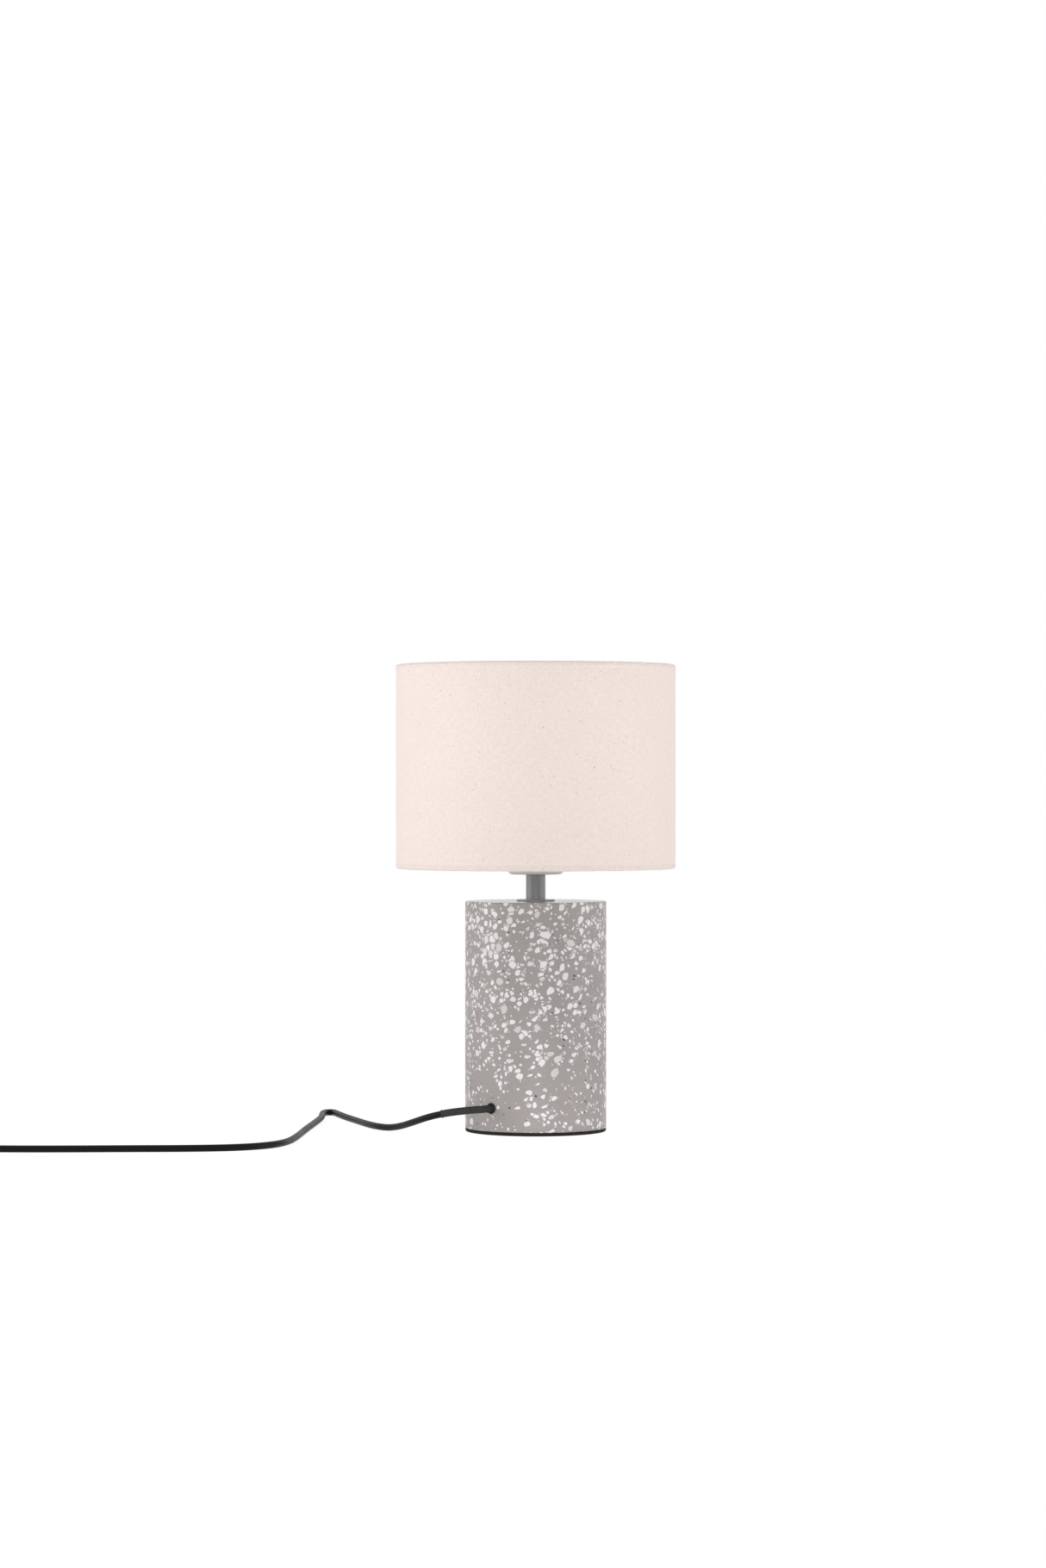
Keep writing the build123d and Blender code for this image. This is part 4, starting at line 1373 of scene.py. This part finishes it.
    def in_notch(self, place: Vector) -> bool:
        """Tell where the spokes' legs pass through the lower hem.

        Args:
            place: a place on the cotton.

        Returns:
            True in a notch.
        """
        inside = math.hypot(place.x, place.y) < self.fold_middle
        at_hem = self.bottom - self.notch_drop < place.z < self.bottom + 2 * self.skirt
        if not (inside and at_hem):
            return False
        for turn in map(math.radians, self.spoke_turns):
            aside = abs(place.y * math.cos(turn) - place.x * math.sin(turn))
            ahead = place.x * math.cos(turn) + place.y * math.sin(turn) > 0
            if ahead and aside < self.notch:
                return True
        return False

    def build(self) -> list[Piece]:
        """Returns:
            The cotton.
        """
        deselect()
        rows = len(self.outline(0.0)) - 1
        bpy.ops.mesh.primitive_grid_add(x_subdivisions=self.columns, y_subdivisions=rows, size=1.0)
        piece = added("cotton_cover")
        piece.data.uv_layers.active.name = COTTON.uv_map
        self.rolled(piece)
        pick(piece, Element.FACE, lambda face: self.in_notch(face.center))
        bpy.ops.mesh.delete(type="FACE")
        bpy.ops.mesh.select_all(action="SELECT")
        bpy.ops.mesh.normals_make_consistent(inside=False)
        modify(piece, "SOLIDIFY", thickness=self.thickness, offset=0.0, use_even_offset=True)
        smooth(piece, SOFT_EDGE)
        fit_out(piece, COTTON, Body.SHADE, "shade_fabric")
        self.flat_size()
        return [piece]


@dataclass
class Lead:
    """The mains lead: straight out of the base, over the table, through the switch into a tied coil.

    Attributes:
        diameter: of the lead's jacket.
        length: of the whole lead outside the lamp. Not used.
        roundness: how finely the lead is rounded.
        route: points from the base to the switch, given one by one.
        tail: points from the switch to the coil.
        plug_end: points from the coil into the plug.
        coil_centre: the coil's middle.
        turn_radii: the turns, in the order that they are wound.
        turn_levels: the lead's middle in each turn.
        last_turn: share of the last turn that is wound.
        turn_points: points in a turn.
        ease_from: share of a turn after which it eases into the next.
        sleeve_length: of the sleeve outside the base.
        sleeve_inset: how far the sleeve goes into the base.
        sleeve_radius: of the sleeve.
        sleeve_roundness: how finely the sleeve is rounded.
        sleeve_flare: how far its tip flares out.
        sleeve_flare_length: of that flare.
        tie_thickness: of the tie's strap.
        tie_corner: radius at which the strap goes round the coil's corners.
        tie_head: the size of the tie's head.
        tie_wall: thickness of the head's wall round its slot.
        tie_gap: from that wall to the strap in the slot.
        tie_edge: how far the head's edges are broken.
        tie_end: how far the strap's cut end stands up from the slot.
        boot_root: the middle of the plug's tail where it meets the plug's body.
        boot_length: of that tail.
        boot_radii: the tail's radius at its root and its tip.
        boot_sides: sides of the tail.
        boot_ribs: ribs round the tail.
        rib_height: how far a rib stands out.
        rib_width: of a rib along the tail.
        rib_edge: how far a rib's edges are broken.
        fittings: the pieces on the switch. Not used.
        nodes_on_it: the switch and the plug. Not used.
    """

    diameter: float = 4.8 * MM
    length: float = 1.8
    roundness: int = 6
    route: tuple[Point, ...] = (
        LEAD_EXIT,
        (-0.03845, -0.0480, 0.0190),
        (-0.0495, -0.0535, 0.0186),
        (-0.0630, -0.0540, 0.0170),
        (-0.0760, -0.0475, 0.0136),
        (-0.0865, -0.0340, 0.0090),
        (-0.0960, -0.0165, 0.0046),
        (-0.1050, -0.0040, ON_TABLE),
        (-0.1135, 0.0075, ON_TABLE),
        (-0.1210, 0.0260, ON_TABLE),
        (-0.1300, 0.0570, ON_TABLE),
        (-0.1395, 0.0890, ON_TABLE),
        (-0.1462, 0.1160, ON_TABLE),
        (-0.1490, 0.1280, ON_TABLE),
        (-0.1504, 0.1332, ON_TABLE),
        (-0.1532, 0.1352, ON_TABLE),
        (-0.1562, 0.1340, ON_TABLE),
        (-0.1582, 0.1290, ON_TABLE),
        (-0.1586, 0.1170, ON_TABLE),
        (-0.1575, 0.0840, ON_TABLE),
        (-0.1605, 0.0340, ON_TABLE),
        (-0.1640, -0.0200, ON_TABLE),
        (-0.1665, -0.0740, ON_TABLE),
        (-0.1700, -0.1160, ON_TABLE),
        (-0.1790, -0.1440, ON_TABLE),
        (-0.1990, -0.1630, ON_TABLE),
        (-0.2300, -0.1710, ON_TABLE),
        (-0.2760, -0.1725, ON_TABLE),
        (-0.3280, -0.1755, ON_TABLE),
        (-0.3720, -0.1740, ON_TABLE),
        (-0.3876, -0.1650, ON_TABLE),
        (-0.3966, -0.1494, 0.0046),
        (-0.3966, -0.1340, 0.0070),
    )
    tail: tuple[Point, ...] = (
        (-0.3966, -0.0740, 0.0070),
        (-0.3966, -0.0650, 0.0066),
        (-0.3966, -0.0550, 0.0035),
        (-0.3966, -0.0460, 0.0030),
    )
    plug_end: tuple[Point, ...] = (
        (-0.4542, -0.0460, 0.0078),
        (-0.4542, -0.0580, 0.0074),
        (-0.4512, -0.0710, 0.00725),
        (-0.4482, -0.0830, 0.00685),
        (-0.4482, -0.0940, 0.00685),
        (-0.4482, -0.1040, 0.00685),
    )
    coil_centre: tuple[float, float] = (-0.4254, -0.038)
    turn_radii: tuple[float, ...] = (0.0288, 0.024, 0.0192, 0.0192, 0.024, 0.0288)
    turn_levels: tuple[float, ...] = (0.003, 0.003, 0.003, 0.0078, 0.0078, 0.0078)
    last_turn: float = 0.5
    turn_points: int = 24
    ease_from: float = 0.8
    sleeve_length: float = 38.5 * MM
    sleeve_inset: float = 10.0 * MM
    sleeve_radius: float = 2.65 * MM
    sleeve_roundness: int = 8
    sleeve_flare: float = 0.35 * MM
    sleeve_flare_length: float = 1.6 * MM
    tie_thickness: float = 0.6 * MM
    tie_corner: float = 2.4 * MM
    tie_head: Point = (6.4 * MM, 4.6 * MM, 5.2 * MM)
    tie_wall: float = 1.15 * MM
    tie_gap: float = 0.3 * MM
    tie_edge: float = 0.2 * MM
    tie_end: float = 6.0 * MM
    boot_root: Point = (-0.4482, -0.116, 0.00685)
    boot_length: float = 22.0 * MM
    boot_radii: tuple[float, float] = (5.55 * MM, 3.85 * MM)
    boot_sides: int = 64
    boot_ribs: int = 5
    rib_height: float = 0.5 * MM
    rib_width: float = 2.0 * MM
    rib_edge: float = 0.25 * MM
    fittings: list[Piece] = field(default_factory=list)
    nodes_on_it: tuple[str, ...] = (
        "switch_lower_case",
        "switch_upper_case",
        "switch_rocker",
        "switch_screws",
        "plug_body",
        "plug_pins",
        "plug_pin_sleeves",
    )

    def coil_points(self) -> list[Point]:
        """The coil's turns, each easing into the next over its last part.

        Returns:
            Points along the coil.
        """
        wound = len(self.turn_radii) - 1 + self.last_turn
        points = []
        for number in range(int(wound * self.turn_points) + 1):
            turn, share = divmod(number / self.turn_points, 1)
            here, after = int(turn), min(int(turn) + 1, len(self.turn_radii) - 1)
            ease = max(0.0, (share - self.ease_from) / (1 - self.ease_from))
            radius = self.turn_radii[here] * (1 - ease) + self.turn_radii[after] * ease
            level = self.turn_levels[here] * (1 - ease) + self.turn_levels[after] * ease
            angle = 2 * math.pi * share
            x = self.coil_centre[0] + radius * math.cos(angle)
            y = self.coil_centre[1] + radius * math.sin(angle)
            points.append((x, y, level))
        return points

    def spline(self, name: str, radius: float) -> Piece:
        """The lead's line as one smooth curve.

        Args:
            name: the curve's name.
            radius: the lead's radius, or 0 for the bare line.

        Returns:
            The curve.
        """
        points = [*self.route, *self.tail, *self.coil_points(), *self.plug_end]
        made, line = tube(name, Course.SMOOTH, points, radius, self.roundness)
        line.order_u = 3
        line.use_endpoint_u = True
        line.resolution_u = 8
        return made

    def line(self) -> list[Vector]:
        """Points along the lead's smooth line.

        Returns:
            The points, from the base to the plug.
        """
        bare = self.spline("lead_line", 0.0)
        mesh = bpy.data.meshes.new_from_object(bare)
        points = [vertex.co.copy() for vertex in mesh.vertices]
        bpy.data.objects.remove(bare)
        bpy.data.meshes.remove(mesh)
        return points

    def sleeve(self) -> Piece:
        """The matt sleeve that keeps the lead from kinking at the base: a thin tube with a flared tip.

        Returns:
            The piece.
        """
        points = self.line()
        inward = (points[0] - points[1]).normalized()
        path = [points[0] + inward * self.sleeve_inset, points[0]]
        gone = 0.0
        for here, after in zip(points, points[1:]):
            step = (after - here).length
            if gone + step > self.sleeve_length:
                path.append(here.lerp(after, (self.sleeve_length - gone) / step))
                break
            gone += step
            path.append(after)
        radii = [self.sleeve_radius] * len(path)
        start, ahead = path[-1], (path[-1] - path[-2]).normalized()
        flared = self.sleeve_radius + self.sleeve_flare
        mouth = self.diameter / 2 - self.sleeve_flare
        for share, radius in ((0.5, self.sleeve_radius), (0.9, flared), (1.0, flared), (1.0, mouth)):
            path.append(start + ahead * self.sleeve_flare_length * share)
            radii.append(radius)
        piece, line = tube("lead_sleeve", Course.STRAIGHT, path, 1.0, self.sleeve_roundness)
        for target, radius in zip(line.points, radii):
            target.radius = radius
        hold(piece)
        bpy.ops.object.convert(target="MESH")
        smooth(piece)
        return fit_out(piece, SLEEVE, Body.LAMP, "cord_sleeve")

    def tie(self) -> Piece:
        """The coil's tie: a strap with round corners, its head on the outside and its cut end past the head.

        Returns:
            The piece.
        """
        low, high = map(Vector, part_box("cord_tie"))
        middle = (low + high) / 2
        piece = strap("coil_tie", low, high, 0, self.tie_corner, self.tie_thickness)
        place = (middle.x, high.y + self.tie_head[1] / 2, middle.z)
        head = block("coil_tie_head", place, self.tie_head)
        pick(head, Element.FACE, lambda face: round(face.normal.z) == 1)
        bpy.ops.mesh.inset(thickness=self.tie_wall)
        bpy.ops.transform.translate(value=(0, 0, -self.tie_thickness))
        bpy.ops.mesh.inset(thickness=self.tie_gap)
        rise = {"value": (0, 0, self.tie_end)}
        bpy.ops.mesh.extrude_region_move(TRANSFORM_OT_translate=rise)
        modify(head, "BEVEL", width=self.tie_edge, segments=3)
        hold(piece, head)
        bpy.ops.object.join()
        smooth(piece)
        return fit_out(piece, TIE, Body.LAMP, "cord_tie")

    def boot(self) -> Piece:
        """The ribs round the plug's tail, which let it bend.

        Returns:
            The piece.
        """
        root, tip = self.boot_radii
        bore = self.diameter / 2
        pitch = self.boot_length / self.boot_ribs
        outline = [(root, 0.0)]
        for rib in range(self.boot_ribs):
            foot = pitch * (rib + 0.5) - self.rib_width / 2
            end = foot + self.rib_width
            radius = root + (tip - root) * foot / self.boot_length
            crest = radius + self.rib_height
            outline += [
                (radius, foot),
                (crest - self.rib_edge, foot),
                (crest, foot + self.rib_edge),
                (crest, end - self.rib_edge),
                (crest - self.rib_edge, end),
                (radius, end),
            ]
        outline += [(tip, self.boot_length), (bore, self.boot_length), (bore, 0.0), outline[0]]
        piece = turned("plug_boot", outline, self.boot_sides)
        piece.rotation_euler = (-math.pi / 2, 0, 0)
        piece.location = self.boot_root
        settle(piece)
        smooth(piece, SOFT_EDGE)
        return fit_out(piece, PLUG, Body.LAMP)

    def build(self) -> list[Piece]:
        """Returns:
            The lead and the other three.
        """
        lead = self.spline("mains_lead", self.diameter / 2)
        fit_out(lead, JACKET, Body.LAMP, "cord", "cord_tail", "cord_coil", "cord_plug_end")
        extras = [self.sleeve(), self.tie(), self.boot()]
        return [lead, *extras]


@dataclass
class Switch:
    """The bead where the switch's two cases meet, and grip bars on its rocker.

    Attributes:
        seam_height: of the bead.
        seam_depth: thickness of the bead, most of it inside the cases.
        seam_rise: how far the bead stands out.
        corner: radius of the cases' corners.
        pivot: the rocker's axis.
        tilt: degrees about +X at which the rocker rests.
        half_length: from the axis to an end.
        middle_rise: the rocker's top above its axis, in the middle.
        end_rise: the rocker's top above its axis, at an end.
        places: how far from the axis the bars are.
        bar: a bar's length, width and height.
    """

    seam_height: float = 0.7 * MM
    seam_depth: float = 0.5 * MM
    seam_rise: float = 0.12 * MM
    corner: float = 9.0 * MM
    pivot: Point = (-0.3966, -0.104, 0.0136)
    tilt: float = -9.0
    half_length: float = 6.5 * MM
    middle_rise: float = 2.6 * MM
    end_rise: float = 3.6 * MM
    places: tuple[float, ...] = (3.4 * MM, 4.4 * MM, 5.4 * MM)
    bar: Point = (6.4 * MM, 0.5 * MM, 0.6 * MM)

    def seam(self) -> Piece:
        """The bead round the cases.

        Returns:
            The piece.
        """
        low, high = map(Vector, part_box("switch_lower_case"))
        level = high.z
        rise = Vector((self.seam_rise, self.seam_rise, 0))
        low, high = low - rise, high + rise
        low.z, high.z = level - self.seam_height / 2, level + self.seam_height / 2
        piece = strap("switch_seam", low, high, 2, self.corner + self.seam_rise, self.seam_depth)
        smooth(piece)
        return fit_out(piece, SWITCH, Body.LAMP)

    def grip(self) -> Piece:
        """The bars on the rocker.

        Returns:
            The piece.
        """
        slope = (self.end_rise - self.middle_rise) / self.half_length
        tilt = math.radians(self.tilt)
        bars = []
        for along in (*self.places, *(-place for place in self.places)):
            offset = Vector((0, along, self.middle_rise + abs(along) * slope))
            offset.rotate(Euler((tilt, 0, 0)))
            turn = (tilt + math.copysign(math.atan(slope), along), 0, 0)
            bar = block("rocker_grip", Vector(self.pivot) + offset, self.bar, turn)
            modify(bar, "BEVEL", width=self.bar[1] / 3, segments=3)
            bars.append(bar)
        piece = bars[0]
        hold(*bars)
        bpy.ops.object.join()
        smooth(piece)
        return fit_out(piece, SWITCH, Body.ROCKER)

    def build(self) -> list[Piece]:
        """Make the bead and the bars."""
        return [self.seam(), self.grip()]


@dataclass(frozen=True)
class Softbox:
    """A square lamp that faces the object.

    Attributes:
        name: the lamp's name.
        place: where it stands.
        target: what it faces.
        size: its side.
        power: watts.
        spread: degrees over which its grid lets the light fan out.
    """

    name: str
    place: Point
    target: Point
    size: float
    power: float
    spread: float = 180.0

    def build(self) -> None:
        """Stand the lamp in the studio."""
        data = bpy.data.lights.new(self.name, "AREA")
        data.shape = "SQUARE"
        data.size = self.size
        data.energy = self.power
        data.spread = math.radians(self.spread)
        made = linked(self.name, data)
        made.location = self.place
        ahead = Vector(self.target) - Vector(self.place)
        made.rotation_euler = ahead.to_track_quat("-Z", "Y").to_euler()


@dataclass
class Studio:
    """Camera, floor and light.

    Attributes:
        camera_place: where the photograph was taken from.
        focal_pixels: the photograph's focal length in its own pixels.
        image_height: the photograph's long side in pixels.
        sensor: the camera's sensor along the long side, in millimetres.
        room_tint: colour of the room's light.
        room_light: strength of that light, where 1 is the white that is seen.
        floor_size: the floor's side.
        floor_paper: grey of the floor, for light and for the eye.
        floor_glow: how strongly it glows, for light and for the eye.
        lamps: two large softboxes, a narrow one in front, and two low ones that even out the base.
    """

    camera_place: Point = (-0.0091, -2.950, 0.2483)
    focal_pixels: float = 4780.5
    image_height: int = 1820
    sensor: float = 36.0
    room_tint: Colour = (1.0, 0.99, 0.98)
    room_light: float = 0.55
    floor_size: float = 12.0
    floor_paper: tuple[float, float] = (0.9, 0.2)
    floor_glow: tuple[float, float] = (0.235, 0.9)
    lamps: tuple[Softbox, ...] = (
        Softbox("left_softbox", (-1.7, -0.3, 0.4), (0, 0, 0.15), size=1.2, power=10.9),
        Softbox("right_softbox", (1.7, -0.3, 0.4), (0, 0, 0.15), size=1.2, power=7.6),
        Softbox("front_softbox", (0.05, -1.4, 0.5), (0, 0, 0.27), size=0.3, power=0.067, spread=20.0),
        Softbox("front_card", (0, -0.8, 0.09), (0, 0, -0.05), size=0.15, power=0.045, spread=24.0),
        Softbox("back_card", (0.3, 0.74, 0.09), (0, 0, -0.05), size=0.08, power=0.02, spread=16.0),
    )

    def camera(self) -> None:
        """A level camera that looks along +Y."""
        data = bpy.data.cameras.new("photo_camera")
        data.sensor_width = self.sensor
        data.lens = self.focal_pixels * self.sensor / self.image_height
        made = linked("photo_camera", data)
        made.location = self.camera_place
        made.rotation_euler = (math.pi / 2, 0, 0)
        bpy.context.scene.camera = made

    def seen_directly(self, graph: Graph) -> Socket:
        """1 where the camera, a reflection or glass looks at the background, and 0 for light.

        Args:
            graph: the graph that gets the nodes.

        Returns:
            The mask's socket.
        """
        path = graph.node("LightPath").outputs
        seen = graph.math("MAXIMUM", path["Is Camera Ray"], path["Is Glossy Ray"])
        return graph.math("MAXIMUM", seen, path["Is Transmission Ray"])

    def world(self) -> None:
        """A white room: softer as a light than it looks."""
        world = bpy.data.worlds.new("white_room")
        bpy.context.scene.world = world
        world.use_nodes = True
        graph = Graph(world.node_tree)
        light = world.node_tree.nodes["Background"]
        graph.feed(light.inputs["Color"], self.room_tint)
        graph.feed(light.inputs["Strength"], self.room_light)
        shown = graph.node("Background", {"Color": WHITE, "Strength": 1.0})
        shaders = {0: self.seen_directly(graph), 1: light.outputs[0], 2: shown.outputs[0]}
        both = graph.node("MixShader", shaders)
        graph.feed(world.node_tree.nodes["World Output"].inputs["Surface"], both.outputs[0])

    def floor(self) -> None:
        """A white floor that keeps a faint shadow."""
        deselect()
        bpy.ops.mesh.primitive_plane_add(size=self.floor_size, location=(0, 0, 0))
        floor = added("studio_floor")
        made = bpy.data.materials.new("white_floor")
        made.use_nodes = True
        graph = Graph(made.node_tree)
        made.node_tree.nodes.remove(made.node_tree.nodes["Principled BSDF"])
        seen = self.seen_directly(graph)
        for_light, for_eye = ((grey, grey, grey) for grey in self.floor_paper)
        paper = graph.node("BsdfDiffuse", {"Color": graph.mix(seen, for_light, for_eye)})
        strength = graph.step(seen, 0.0, 1.0, *self.floor_glow)
        glow = graph.node("Emission", {"Color": WHITE, "Strength": strength})
        both = graph.node("AddShader", {0: paper.outputs[0], 1: glow.outputs[0]})
        graph.feed(made.node_tree.nodes["Material Output"].inputs["Surface"], both.outputs[0])
        floor.data.materials.append(made)

    def build(self) -> None:
        """Set the stage."""
        bpy.context.scene.view_settings.view_transform = "Standard"
        self.camera()
        self.world()
        self.floor()
        for lamp in self.lamps:
            lamp.build()


def main() -> None:
    """Build the scene and report each piece."""
    logging.basicConfig(level=logging.INFO, format="%(name)s: %(message)s")
    Studio().build()
    dress_frame()
    fittings = Switch().build()
    for piece in [*Base().build(), *Shade().build(), *fittings, *Lead(fittings=fittings).build()]:
        log.info("%s: %d faces", piece.name, len(piece.data.polygons) if piece.type == "MESH" else 0)


if __name__ == "__main__":
    main()
